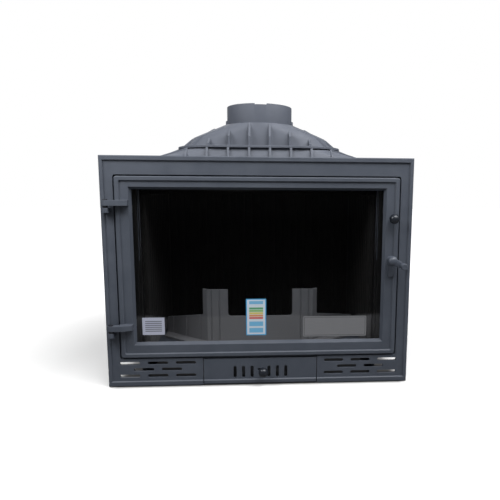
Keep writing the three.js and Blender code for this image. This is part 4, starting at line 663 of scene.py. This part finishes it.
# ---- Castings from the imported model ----


def soften(node, width):
    """Rounds a packed casting's edges, after its loose triangles are welded."""
    weld = node.modifiers.new("weld", "WELD")
    weld.merge_threshold = MERGE
    bevel = node.modifiers.new("edges", "BEVEL")
    bevel.width = width
    bevel.segments = 2
    bevel.limit_method = "ANGLE"
    bevel.angle_limit = radians(EDGE_ANGLE)
    bevel.use_clamp_overlap = True


def finish_packed_nodes():
    for name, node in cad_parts.items():
        finish = next(f for f, starts in FINISH_OF.items() if name.startswith(starts))
        node.data.materials.clear()
        node.data.materials.append(FINISHES[finish])
        small = max(node.dimensions) < SMALL_NODE
        soften(node, FINE_ROUND if small else EDGE_ROUND)


finish_packed_nodes()

# ---- Modelling helpers ----


def as_object(bm, name):
    mesh = bpy.data.meshes.new(name)
    bm.to_mesh(mesh)
    bm.free()
    return new_object(name, mesh)


def tidy_faces(bm):
    bmesh.ops.remove_doubles(bm, verts=bm.verts, dist=MERGE)
    bmesh.ops.recalc_face_normals(bm, faces=bm.faces)


def show(bm, name, finish, body, stands_for=(), sharp=SHARP_ANGLE):
    """Smooths a mesh, gives it its finish, and hands the piece to its body."""
    tidy_faces(bm)
    for face in bm.faces:
        face.smooth = True
    for edge in bm.edges:
        edge.smooth = len(edge.link_faces) == 2 and edge.calc_face_angle(0) < radians(sharp)
    made = as_object(bm, name)
    made.data.materials.append(FINISHES[finish])
    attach(made, body)
    if stands_for:
        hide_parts(*stands_for)


def extent(node):
    """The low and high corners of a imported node's box, and its middle."""
    low, high = (Vector(corner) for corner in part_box(node))
    return low, high, (low + high) / 2


def move(bm, place):
    bmesh.ops.translate(bm, vec=place, verts=bm.verts)
    return bm


def rod(radius, low, high):
    return [(0, low), (radius, low), (radius, high), (0, high)]


def turned(profile, middle=(0, 0, 0), axis="Z", steps=64):
    """A profile of (radius, place along the axis) spun about an axis through a middle."""
    bm = bmesh.new()
    upright = axis == "Z"
    for radius, along in profile:
        bm.verts.new((radius, 0, along) if upright else (radius, along, 0))
    bm.verts.ensure_lookup_table()
    line = [bm.edges.new((bm.verts[i], bm.verts[i + 1])) for i in range(len(profile) - 1)]
    if profile[0][0] > 0:
        line.append(bm.edges.new((bm.verts[len(profile) - 1], bm.verts[0])))
    bmesh.ops.spin(
        bm, geom=list(bm.verts) + line, cent=(0, 0, 0), angle=2 * pi, steps=steps,
        axis=(0, 0, 1) if upright else (0, 1, 0), use_merge=True, use_duplicate=False,
    )
    tidy_faces(bm)
    x, y, z = middle
    return move(bm, (x, y, 0) if upright else (x, 0, z))


def drill(middle, radius, low, high):
    """An upright cylinder to cut a hole with, between two heights."""
    return turned(rod(radius, low, high), middle, steps=DRILL_STEPS)


def bend(radius_at, along_at, radius, start, end, steps=6):
    """Profile points round a corner, between two angles in degrees."""
    points = []
    for i in range(steps + 1):
        angle = radians(start + (end - start) * i / steps)
        points.append((radius_at + radius * cos(angle), along_at + radius * sin(angle)))
    return points


def corner_arcs(left, right, bottom, top, corner, steps):
    """The round corners of a rectangle as runs of points, from the top right round."""
    return [
        bend(x, z, corner, start, start + 90, steps)
        for x, z, start in (
            (right - corner, top - corner, 0),
            (left + corner, top - corner, 90),
            (left + corner, bottom + corner, 180),
            (right - corner, bottom + corner, 270),
        )
    ]


def domed(radius, seat, height, rim, angles):
    """A domed head's profile from its rim up, whose height is a share of the head's."""
    turns = [radians(angle) for angle in angles]
    return [
        (radius * cos(turn), seat + height * (rim + (1 - rim) * sin(turn)))
        for turn in turns
    ]


def extruded(outline, shift, rounding=0, segments=3):
    """A flat outline pulled out by a vector, with the rims of both ends rounded."""
    bm = bmesh.new()
    face = bm.faces.new([bm.verts.new(point) for point in outline])
    grown = bmesh.ops.extrude_face_region(bm, geom=[face])
    moved = [item for item in grown["geom"] if isinstance(item, bmesh.types.BMVert)]
    bmesh.ops.translate(bm, vec=shift, verts=moved)
    bmesh.ops.recalc_face_normals(bm, faces=bm.faces)
    if rounding:
        along = Vector(shift).normalized()
        rims = [e for e in bm.edges if abs((e.verts[0].co - e.verts[1].co).dot(along)) < MERGE]
        bmesh.ops.bevel(
            bm, geom=rims, offset=rounding, offset_type="OFFSET", segments=segments,
            profile=0.5, affect="EDGES", clamp_overlap=True, material=-1,
        )
    return bm


def block(low, high):
    bm = bmesh.new()
    bmesh.ops.create_cube(bm, size=1)
    low, high = Vector(low), Vector(high)
    bmesh.ops.scale(bm, vec=high - low, verts=bm.verts)
    return move(bm, (low + high) / 2)


def lofted(rings):
    """A grid wrapped round a run of rings of points, from the last ring back to the first."""
    around, along = len(rings[0]), len(rings)
    bm = bmesh.new()
    bmesh.ops.create_grid(bm, x_segments=around, y_segments=along, size=0.5)
    for vert in bm.verts:
        i = round((vert.co.x + 0.5) * around) % around
        j = round((vert.co.y + 0.5) * along) % along
        vert.co = rings[j][i]
    tidy_faces(bm)
    return bm


def combined(base, others, operation="UNION"):
    """One closed mesh from several: joined, cut by the others, or kept where they meet."""
    body = as_object(base, "base")
    helpers = [as_object(other, "other") for other in others]
    for helper in helpers:
        step = body.modifiers.new("combine", "BOOLEAN")
        step.operation = operation
        step.solver = "MANIFOLD"
        step.object = helper
    shown = body.evaluated_get(bpy.context.evaluated_depsgraph_get())
    bm = bmesh.new()
    bm.from_mesh(shown.to_mesh())
    shown.to_mesh_clear()
    for made in (body, *helpers):
        mesh = made.data
        bpy.data.objects.remove(made)
        bpy.data.meshes.remove(mesh)
    return bm


# ---- Hood and flue collar ----

FLUE_Y = extent("flue_collar")[2].y
HOOD_LOW, HOOD_HIGH, _ = extent("smoke_hood")
FOOT_HALF = HOOD_HIGH.x - RIM_REACH
HOOD_FRONT = HOOD_LOW.y + RIM_REACH
HOOD_BACK = HOOD_HIGH.y - RIM_REACH
RIM_TOP = HOOD_LOW.z + RIM_HEIGHT
WAIST = HOOD_LOW.z + WAIST_RISE


def hood_plan(height, dome=False):
    """Half width, front, back and corner radius of the hood at a height."""
    waist = (WAIST_HALF, HOOD_FRONT + WAIST_INSET, HOOD_BACK - WAIST_INSET, WAIST_CORNER)
    if dome:
        front, back = waist[1] + SHOULDER_INSET, waist[2] - SHOULDER_INSET
        shoulder = (WAIST_HALF - SHOULDER_SIDE, front, back, SHOULDER_CORNER)
        brow = (BROW_HALF, front + BROW_INSET, back - BROW_INSET, BROW_CORNER)
        crown = (CROWN_RADIUS, FLUE_Y - CROWN_RADIUS, FLUE_Y + CROWN_RADIUS, CROWN_RADIUS - MM)
        turn = HOOD_HIGH.z - BROW_DROP
        if height <= turn:
            share = (height - WAIST) / (turn - WAIST)
            first, last = shoulder, brow
        else:
            share = (height - turn) / BROW_DROP
            first, last = brow, crown
    else:
        share = (height - HOOD_LOW.z) / WAIST_RISE
        first, last = (FOOT_HALF, HOOD_FRONT, HOOD_BACK, FOOT_CORNER), waist
    return [a + (b - a) * share for a, b in zip(first, last)]


def quarter(half, deep, corner, step, even):
    """A point on a quarter of a rounded oblong, stepped by its corner or evenly."""
    straight, arc, end = deep - corner, corner * pi / 2, half - corner
    total = straight + arc + end
    if step <= SIDE_STEPS:
        walked = straight * step / SIDE_STEPS
    elif step <= SIDE_STEPS + CORNER_STEPS:
        walked = straight + arc * (step - SIDE_STEPS) / CORNER_STEPS
    else:
        walked = total - end * (QUARTER_STEPS - step) / SIDE_STEPS
    walked += (total * step / QUARTER_STEPS - walked) * even
    if walked <= straight:
        return half, walked
    if walked >= straight + arc:
        return total - walked, deep
    turn = (walked - straight) / corner
    return end + corner * cos(turn), straight + corner * sin(turn)


def oblong(half, front, back, corner, height, even=0):
    """A rounded oblong as a ring of points, as many at every size."""
    points = []
    middle, deep = (front + back) / 2, (back - front) / 2
    for right, rear in ((1, 1), (-1, 1), (-1, -1), (1, -1)):
        steps = range(QUARTER_STEPS)
        if right != rear:
            steps = range(QUARTER_STEPS, 0, -1)
        for step in steps:
            x, y = quarter(half, deep, corner, step, even)
            points.append(Vector((right * x, middle + rear * y, height)))
    return points


def hood_ring(height, grown=0, at=None, dome=False):
    half, front, back, corner = hood_plan(height, dome)
    at = height if at is None else at
    even = (height - WAIST) / (HOOD_HIGH.z - WAIST) if dome else 0
    return oblong(half + grown, front - grown, back + grown, corner + grown, at, even)


def hood_face(across, height, grown, sideways, dome=False):
    """How far the hood reaches, front and back or side to side, in a slice across it."""
    half, front, back, corner = hood_plan(height, dome)
    half, front, back, corner = half + grown, front - grown, back + grown, corner + grown
    if sideways:
        over = max(front + corner - across, across - (back - corner), 0)
        low, high = -half, half
    else:
        over = max(abs(across) - (half - corner), 0)
        low, high = front, back
    drop = corner - sqrt(corner**2 - over**2)
    return low + drop, high - drop


def skirt_rib(across, sideways, side):
    """The outline of a rib of the skirt: along the slope outside, and sunk into it inside."""
    proud, sunk = [], []
    for height in (RIM_TOP - MM, (RIM_TOP + WAIST) / 2, WAIST + MM):
        outer = hood_face(across, height, RIB_REACH, sideways)
        inner = hood_face(across, height, -FIN_SINK, sideways)
        proud.append((outer[side], height))
        sunk.append((inner[side], height))
    return proud + sunk[::-1]


def dome_fin(edge, across, sideways, side):
    """The outline of a fin: its own edge outside, and sunk into the dome inside."""
    away = 1 if side else -1
    middle = 0 if sideways else FLUE_Y
    outline = [(middle + away * edge[0][0] * MM, WAIST + MM)]
    outline += [(middle + away * along * MM, WAIST + rise * MM) for along, rise in edge]
    top = min(outline[-1][1], HOOD_HIGH.z) - MM
    deepest = hood_face(across, top, MM - FIN_SINK, sideways, dome=True)[side]
    if (outline[-1][0] - deepest) * away < 0:
        outline[-1] = (deepest, outline[-1][1])
    for step in range(FIN_STEPS + 1):
        height = top + (WAIST + MM - top) * step / FIN_STEPS
        inner = hood_face(across, height, -FIN_SINK, sideways, dome=True)
        outline.append((inner[side], height))
    return outline


def rib(outline, across, sideways):
    """A rib or fin of the hood, from its outline as distances and heights."""
    low, thick = across - RIB_HALF, 2 * RIB_HALF
    if sideways:
        return extruded([(along, low, z) for along, z in outline], (0, thick, 0), RIB_ROUND)
    return extruded([(low, along, z) for along, z in outline], (thick, 0, 0), RIB_ROUND)


def hood_ribs():
    """The skirt's ribs and the dome's fins, front and back, and then on both sides."""
    made = []
    fronts = []
    for face in (FLUE_Y - HOOD_FRONT, HOOD_BACK - FLUE_Y):
        base = (face - WAIST_INSET - FIN_SETBACK) / MM
        fronts.append([((base, knee), (along, rise)) for knee, along, rise in FRONT_FINS])
    for sideways, ribs, middle, edges in (
        (False, FRONT_RIBS, 0, fronts),
        (True, SIDE_RIBS, FLUE_Y, (SIDE_FINS, SIDE_FINS)),
    ):
        for i in range(-ribs, ribs):
            across = middle + (i + 0.5) * RIB_PITCH
            fin = max(i, -i - 1)
            for side in (0, 1):
                made.append(rib(skirt_rib(across, sideways, side), across, sideways))
                if fin < len(edges[side]):
                    outline = dome_fin(edges[side][fin], across, sideways, side)
                    made.append(rib(outline, across, sideways))
    return made


def rim_ring(reach, height):
    front, back = HOOD_FRONT - reach, HOOD_BACK + reach
    return oblong(FOOT_HALF + reach, front, back, 2 * RIM_ROUND, height)


def hood_shell():
    """The rim, the skirt, the ledge, the dome and the bore, and back down the inside."""
    rise = HOOD_HIGH.z - WAIST
    heights = [WAIST + rise * i / SLOPE_STEPS for i in range(SLOPE_STEPS + 1)]
    bore = (FLUE_BORE, FLUE_Y - FLUE_BORE, FLUE_Y + FLUE_BORE, FLUE_BORE - MM)
    ledge = WAIST + HOOP_HEIGHT / 2
    rings = [
        rim_ring(RIM_REACH - RIM_ROUND, HOOD_LOW.z),
        rim_ring(RIM_REACH, HOOD_LOW.z + RIM_ROUND),
        rim_ring(RIM_REACH, RIM_TOP - RIM_ROUND),
        rim_ring(RIM_REACH - RIM_ROUND, RIM_TOP),
        hood_ring(RIM_TOP),
        hood_ring(WAIST),
        hood_ring(WAIST, at=ledge),
    ]
    rings += [hood_ring(height, at=max(height, ledge), dome=True) for height in heights]
    rings += [oblong(*bore, HOOD_HIGH.z, 1), oblong(*bore, HOOD_HIGH.z - HOOD_WALL, 1)]
    for height in reversed(heights):
        inner = height - HOOD_WALL + (heights[-1] - height) / rise * HOOP_HEIGHT
        rings.append(hood_ring(height, -HOOD_WALL, inner, dome=True))
    rings.append(hood_ring(WAIST, -HOOD_WALL, WAIST + HOOP_HEIGHT - HOOD_WALL))
    rings.append(hood_ring(HOOD_LOW.z, -HOOD_WALL))
    return lofted(rings)


def hood_hoop():
    """The flat hoop that stands out round the waist, and its top, up to the dome."""
    face = RIB_REACH - HOOP_ROUND
    top = WAIST + HOOP_HEIGHT
    inside = -FIN_SINK
    outside = ((inside, WAIST), (face, WAIST), (RIB_REACH, WAIST + HOOP_ROUND))
    outside += ((RIB_REACH, top - HOOP_ROUND), (face, top))
    rings = [hood_ring(WAIST, grown, at) for grown, at in outside]
    rings += [hood_ring(WAIST, inside, at, dome=True) for at in (top, WAIST + MM)]
    return lofted(rings)


def hood_casting():
    drills = []
    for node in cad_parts:
        middle = extent(node)[2]
        if node.startswith("hood_bolt"):
            drills.append(drill(middle, BOLT_SEAT, RIM_TOP, RIM_TOP + 2 * HEAD_HEIGHT))
            drills.append(drill(middle, BOLT_HOLE, HOOD_LOW.z - MM, RIM_TOP + MM))
        elif node.startswith("collar_bolt"):
            low, high = HOOD_HIGH.z - 2 * HOOD_WALL, HOOD_HIGH.z + MM
            drills.append(drill(middle, BOLT_HOLE, low, high))
    whole = combined(hood_shell(), [hood_hoop(), *hood_ribs()])
    whole = combined(whole, drills, "DIFFERENCE")
    show(whole, "hood_casting", "hood_iron", "stove_body", ["smoke_hood"])


def collar_side(radius, foot, head):
    """An upright outer side of the collar, with its two edges rounded."""
    middle, edge = radius - COLLAR_EDGE, COLLAR_EDGE
    return bend(middle, foot + edge, edge, -90, 0, 3) + bend(middle, head - edge, edge, 0, 90, 4)


def collar_casting():
    low, high, _ = extent("flue_collar")
    lug = high.x
    outer = lug - LUG_REACH
    inner = outer - COLLAR_WALL
    lug_top = low.z + LUG_HEIGHT
    flange_top = low.z + COLLAR_FLANGE
    edge = COLLAR_EDGE
    profile = [
        (FLUE_BORE, low.z),
        *collar_side(outer, low.z, high.z),
        *bend(inner + edge, high.z - edge, edge, 90, 180, 4),
        *bend(inner - edge, flange_top + edge, edge, 0, -90, 4),
        (FLUE_BORE, flange_top),
    ]
    wall = turned(profile, (0, FLUE_Y, 0), steps=COLLAR_STEPS)
    lug_ring = [
        (inner + edge, low.z),
        *collar_side(lug, low.z, lug_top),
        (inner + edge, lug_top),
    ]
    half = LUG_WIDTH / 2
    slab = block((-2 * lug, FLUE_Y - half, low.z - MM), (2 * lug, FLUE_Y + half, high.z))
    lugs = combined(turned(lug_ring, (0, FLUE_Y, 0), steps=COLLAR_STEPS), [slab], "INTERSECT")
    left, right = (NOTCH_SHIFT + side * NOTCH_WIDTH / 2 for side in (-1, 1))
    notch = block(
        (left, FLUE_Y - lug, high.z - NOTCH_DEPTH),
        (right, FLUE_Y - inner + COLLAR_WALL, high.z + MM),
    )
    drills = [
        drill(extent(node)[2], BOLT_HOLE, low.z - MM, flange_top + MM)
        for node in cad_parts
        if node.startswith("collar_bolt")
    ]
    whole = combined(combined(wall, [lugs]), [notch, *drills], "DIFFERENCE")
    show(whole, "collar_casting", "hood_iron", "stove_body", ["flue_collar"])


hood_casting()
collar_casting()

# ---- Knobs and latch ----


def ball_knob(node, body, neck, foot, seat, stud):
    """A ball on a neck with a small foot, and a stud behind it."""
    low, high, middle = extent(node)
    ball, seat = low.y + KNOB_RADIUS, low.y + seat
    back = degrees(asin(neck / KNOB_RADIUS))
    profile = [(0, low.y)]
    profile += bend(0, ball, KNOB_RADIUS, -88, 90 - back, 28)
    profile += [(neck, seat - KNOB_FOOT_RISE)]
    if foot > neck:
        profile += bend(foot - KNOB_ROUND, seat - KNOB_ROUND, KNOB_ROUND, -60, 0, 3)
        profile += [(foot, seat), (stud, seat)]
    profile += [(stud, high.y), (0, high.y)]
    show(turned(profile, middle, "Y"), f"{node}_turned", "knob_iron", body, [node])


def latch_handle():
    """The hub, its lever and the grip's stud in one casting, and the grip on its own."""
    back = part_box("latch_lever")[1][1]
    front = back - HUB_HEIGHT
    spindle, grip = extent("latch_spindle")[2], extent("latch_grip")[2]
    shoulder = back - HUB_NECK_HEIGHT
    turns = [radians(90 * i / HUB_DOME_STEPS) for i in range(HUB_DOME_STEPS + 1)]
    hub = [
        *[(HUB_RADIUS * sin(turn), front + HUB_DOME * (1 - cos(turn))) for turn in turns],
        (HUB_RADIUS, shoulder - 3 * MM),
        *bend(HUB_NECK + 2.4 * MM, shoulder - 1.8 * MM, 2.2 * MM, 30, 90, 4),
        (HUB_NECK, shoulder + 1.2 * MM),
        (HUB_NECK, back),
        (0, back),
    ]
    hub = turned(hub, spindle, "Y")
    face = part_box("latch_grip")[1][1] + GAP
    across = Vector((grip.x - spindle.x, grip.z - spindle.z))
    turn = degrees(atan2(across.y, across.x))
    lean = degrees(acos((LEVER_ROOT - LEVER_TIP) / across.length))
    outline = bend(spindle.x, spindle.z, LEVER_ROOT, turn + lean, turn + 360 - lean, 18)
    outline += bend(grip.x, grip.z, LEVER_TIP, turn - lean, turn + lean, 18)
    bar = extruded([(x, face, z) for x, z in outline], (0, LEVER_THICK, 0), LEVER_ROUND, 4)
    stud = rod(GRIP_STUD, face - STUD_LENGTH, face + LEVER_ROUND)
    lever = combined(hub, [bar, turned(stud, grip, "Y", 32)])
    show(lever, "latch_lever_cast", "latch_iron", "latch", ["latch_lever"])

    low, high, _ = extent("latch_grip")
    radius = (high.z - low.z) / 2
    waist = low.y + 6 * MM
    sleeve = [
        (0, low.y + 0.4 * MM),
        (radius - 4 * MM, low.y + 0.3 * MM),
        *bend(radius - GRIP_EDGE, low.y + GRIP_EDGE, GRIP_EDGE, -90, 0, 5),
        (radius, waist - 0.6 * MM),
        (radius - GRIP_GROOVE, waist),
        (radius - GRIP_GROOVE, waist + 0.8 * MM),
        (radius, waist + 1.4 * MM),
        *bend(radius - GRIP_EDGE, high.y - GRIP_EDGE, GRIP_EDGE, 0, 90, 5),
        (GRIP_STUD + GAP, high.y),
        (GRIP_STUD + GAP, face - STUD_LENGTH - GAP),
        (0, face - STUD_LENGTH - GAP),
    ]
    sleeve = turned(sleeve, grip, "Y")
    show(sleeve, "latch_grip_turned", "latch_iron", "latch", ["latch_grip"])


ball_knob("door_pull_knob", "door", *PULL_KNOB)
ball_knob("air_knob", "air_control", *AIR_KNOB)
latch_handle()

# ---- Hinge pins, bolts and screws ----


def hinge_fittings():
    for place in ("lower", "upper"):
        node = f"hinge_pin_{place}"
        low, high, middle = extent(node)
        head = (high.x - low.x) / 2
        seat = high.z - PIN_HEAD
        profile = [
            (0, low.z),
            (PIN_SHANK - WASHER_EDGE, low.z),
            (PIN_SHANK, low.z + WASHER_EDGE),
            (PIN_SHANK, seat),
            (head - WASHER_EDGE / 2, seat),
            (head, seat + WASHER_EDGE / 2),
            *domed(head, seat, PIN_HEAD, PIN_RIM, range(0, 90, 15)),
            (0, high.z),
        ]
        pin = turned(profile, middle, steps=ROUND_STEPS)
        show(pin, f"{node}_turned", "dark_steel", "stove_body", [node])
        node = f"hinge_washer_{place}"
        low, high, _ = extent(node)
        bore, rim = PIN_SHANK + GAP, head - WASHER_EDGE
        ring = [(bore, low.z), (rim, low.z), (head, low.z + WASHER_EDGE)]
        ring += [(head, high.z - WASHER_EDGE), (rim, high.z), (bore, high.z)]
        washer = turned(ring, middle, steps=ROUND_STEPS)
        show(washer, f"{node}_turned", "dark_steel", "stove_body", [node])


def hexagon_bolt(node):
    """A chamfered hexagon head on a washer face, and a threaded shank, along Z or Y."""
    forward = node.startswith("frame_bolt")
    low, high, middle = extent(node)
    length = (high - low).y if forward else (high - low).z
    seat = length - HEAD_HEIGHT
    flat = BOLT_HEAD * cos(radians(30))
    head = bmesh.new()
    sizes = {"radius1": BOLT_HEAD, "radius2": BOLT_HEAD, "depth": HEAD_HEIGHT}
    bmesh.ops.create_cone(head, cap_ends=True, segments=6, **sizes)
    move(head, (0, 0, seat + HEAD_HEIGHT / 2))
    over, face = BOLT_HEAD + 0.2 * MM, seat + BOLT_FACE
    crown = [(0, seat), (flat, seat), (flat, face), (over, face)]
    crown += [(over, length - BOLT_CHAMFER), (flat - 0.2 * MM, length), (0, length)]
    head = combined(head, [turned(crown, steps=48)], "INTERSECT")
    thread = [(0, 0), (BOLT_SHANK - THREAD_DEPTH, 0)]
    for i in range(int((seat - MM) / THREAD_PITCH)):
        start = THREAD_PITCH * i
        thread.append((BOLT_SHANK, start + THREAD_PITCH * 0.45))
        thread.append((BOLT_SHANK - THREAD_DEPTH, start + THREAD_PITCH * 0.95))
    thread += [(BOLT_SHANK, seat - 0.2 * MM), (BOLT_SHANK, seat + MM), (0, seat + MM)]
    bolt = combined(head, [turned(thread, steps=24)])
    if forward:
        turn = Matrix.Rotation(-pi / 2, 3, "X")
        bmesh.ops.rotate(bolt, cent=(0, 0, 0), matrix=turn, verts=bolt.verts)
        move(bolt, (middle.x, low.y, middle.z))
    else:
        move(bolt, (middle.x, middle.y, low.z))
    name = f"{node}_hexagon"
    show(bolt, name, "zinc_steel", "stove_body", [node], sharp=FITTING_SHARP)


def pan_screw(node, body):
    """A pan-headed screw with a cross recess, its head towards the back."""
    low, high, middle = extent(node)
    head = (high.z - low.z) / 2
    seat = high.y - SCREW_HEAD
    profile = [(0, low.y), (SCREW_SHANK * 0.6, low.y), (SCREW_SHANK, low.y + 0.8 * MM)]
    profile += [(SCREW_SHANK, seat), (head, seat)]
    profile += domed(head, seat, SCREW_HEAD, SCREW_RIM, (0, *range(20, 90, 14)))
    profile.append((0, high.y))
    screw = turned(profile, middle, "Y", 32)
    reach = head * SLOT_REACH
    slots = [
        block(
            (middle.x - wide, high.y - SLOT_DEPTH, middle.z - tall),
            (middle.x + wide, high.y + MM, middle.z + tall),
        )
        for wide, tall in ((reach, SLOT_HALF), (SLOT_HALF, reach))
    ]
    screw = combined(screw, slots, "DIFFERENCE")
    show(screw, f"{node}_pan", "zinc_steel", body, [node], sharp=FITTING_SHARP)


hinge_fittings()
for fitting in list(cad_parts):
    if "_bolt_" in fitting:
        hexagon_bolt(fitting)
    elif fitting.startswith("clip_screw"):
        pan_screw(fitting, "door")
    elif fitting.startswith("drawer_screw"):
        pan_screw(fitting, "drawer")

# ---- Door seal ----


def seal_path(half_width, bottom, top):
    """Places along the seal: points round its corners, and a step apart on its straights."""
    arcs = corner_arcs(-half_width, half_width, bottom, top, ROPE_CORNER, ROPE_CORNER_STEPS)
    spots = []
    for i, arc in enumerate(arcs):
        spots += [Vector(place) for place in arc]
        first, target = spots[-1].copy(), Vector(arcs[(i + 1) % len(arcs)][0])
        run = target - first
        count = int(run.length / ROPE_STEP)
        spots += [first + run * step / count for step in range(1, count)]
    return spots


def door_seal():
    """A three-strand rope pressed into the door's groove, all the way round."""
    low, high, _ = extent("door_rope_seal")
    half_wide, half_deep = ROPE_WIDTH / 2, (high.y - low.y) / 2
    depth = (low.y + high.y) / 2
    spots = seal_path(high.x - half_wide, low.z + half_wide, high.z - half_wide)
    count = len(spots)
    walked = [0]
    for i in range(1, count + 1):
        walked.append(walked[-1] + (spots[i % count] - spots[i - 1]).length)
    turns = round(walked[-1] / ROPE_TWIST)
    bm = bmesh.new()
    bmesh.ops.create_grid(bm, x_segments=count, y_segments=ROPE_SIDES, size=0.5)
    for vert in bm.verts:
        i = round((vert.co.x + 0.5) * count)
        angle = 2 * pi * round((vert.co.y + 0.5) * ROPE_SIDES) / ROPE_SIDES
        here = spots[i % count]
        ahead = (spots[(i + 1) % count] - spots[i % count - 1]).normalized()
        outward = Vector((ahead.y, -ahead.x))
        phase = ROPE_STRANDS * angle - 2 * pi * turns * walked[i] / walked[-1]
        swell = 1 - STRAND_DEPTH * (0.5 - 0.5 * cos(phase))
        across = here + outward * (half_wide * swell * cos(angle))
        vert.co = (across.x, depth + half_deep * swell * sin(angle), across.y)
    show(bm, "door_seal_rope", "seal_rope", "door", ["door_rope_seal"], sharp=ROPE_SHARP)


door_seal()

# ---- Cards on the glass ----


def glass_card(name, finish, sides, corner=CARD_CORNER):
    """A thin card with round corners, stuck on the front of the glass."""
    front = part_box("door_glass")[0][1] - CARD_GAP
    outline = sum(corner_arcs(*sides, corner, CARD_CORNER_STEPS), [])
    card = extruded([(x, front, z) for x, z in outline], (0, -CARD_THICK, 0))
    show(card, name, finish, "door")


glass_card("white_card", "white_paper", WHITE_CARD)
glass_card("band_card", "banded_paper", BAND_CARD)
glass_card("steel_card", "brushed_plate", STEEL_CARD, STEEL_CORNER)

# ---- Studio ----


def seen_rays(tree):
    """1 for what the camera sees, straight or through the glass, else 0."""
    rays = add(tree, "ShaderNodeLightPath").outputs
    return math_of(tree, "MAXIMUM", rays["Is Camera Ray"], rays["Is Transmission Ray"])


def floor_shade(tree, place):
    """1 under the object, less beside it and behind the frame's foot, and 0 in the open."""
    x, y, _ = parts_of(tree, place)
    aside = math_of(tree, "ABSOLUTE", x)
    corner = ranged(tree, y, SHADE_FRONT, SHADE_CORNER_END, SHADE_CORNER, 0)
    narrow = math_of(tree, "SUBTRACT", aside, corner)
    wide = ranged(tree, narrow, SHADE_HALF, SHADE_HALF + SHADE_FADE, SHADE_DEPTH, 0)
    covered = ranged(tree, aside, SHADE_LIMIT - SHADE_LIMIT_FADE, SHADE_LIMIT, 1, 0)
    front = ranged(tree, y, SHADE_FRONT - SHADE_FADE / 3, SHADE_FRONT)
    back = ranged(tree, y, SHADE_BACK, SHADE_BACK + SHADE_FADE, 1, 0)
    return product(tree, wide, covered, product(tree, front, back))


def studio_floor():
    """A pale floor that turns to the plain white backdrop away from the object."""
    bm = bmesh.new()
    bmesh.ops.create_grid(bm, x_segments=1, y_segments=1, size=FLOOR_REACH)
    ground = as_object(bm, "studio_floor")
    tree, shader = new_finish("studio_floor")
    seen, place = seen_rays(tree), place_in(tree)
    under = floor_shade(tree, place)
    pale = mixed(tree, seen, (*(FLOOR_BOUNCE,) * 3, 1), (1, 1, 1, 1))
    away = add(tree, "ShaderNodeVectorMath", {0: place}, operation="LENGTH").outputs["Value"]
    glow = ranged(tree, away, FLOOR_NEAR, FLOOR_FAR, FLOOR_GLOW, 1)
    open_floor = product(tree, seen, math_of(tree, "SUBTRACT", 1, under))
    wire(tree, shader, {
        "Base Color": mixed(tree, under, pale, SHADE_TONE),
        "Roughness": 0.9,
        "Specular IOR Level": 0,
        "Emission Color": (1, 1, 1, 1),
        "Emission Strength": product(tree, glow, open_floor),
    })
    ground.data.materials.append(FINISHES["studio_floor"])


def softbox(name, place, aim, width, depth, power):
    data = bpy.data.lights.new(name, "AREA")
    data.shape = "RECTANGLE"
    data.size = width
    data.size_y = depth
    data.energy = power
    lamp = new_object(name, data)
    lamp.location = place
    lamp.rotation_euler = (Vector(aim) - Vector(place)).to_track_quat("-Z", "Y").to_euler()


def studio():
    scene = bpy.context.scene
    scene.view_settings.view_transform = "Standard"
    studio_floor()
    world = bpy.data.worlds.new("studio")
    world.use_nodes = True
    tree = world.node_tree
    strength = ranged(tree, seen_rays(tree), 0, 1, WORLD_LIGHT, 1)
    wire(tree, tree.nodes["Background"], {"Color": (1, 1, 1, 1), "Strength": strength})
    scene.world = world
    for lamp in SOFTBOXES:
        softbox(*lamp)


studio()
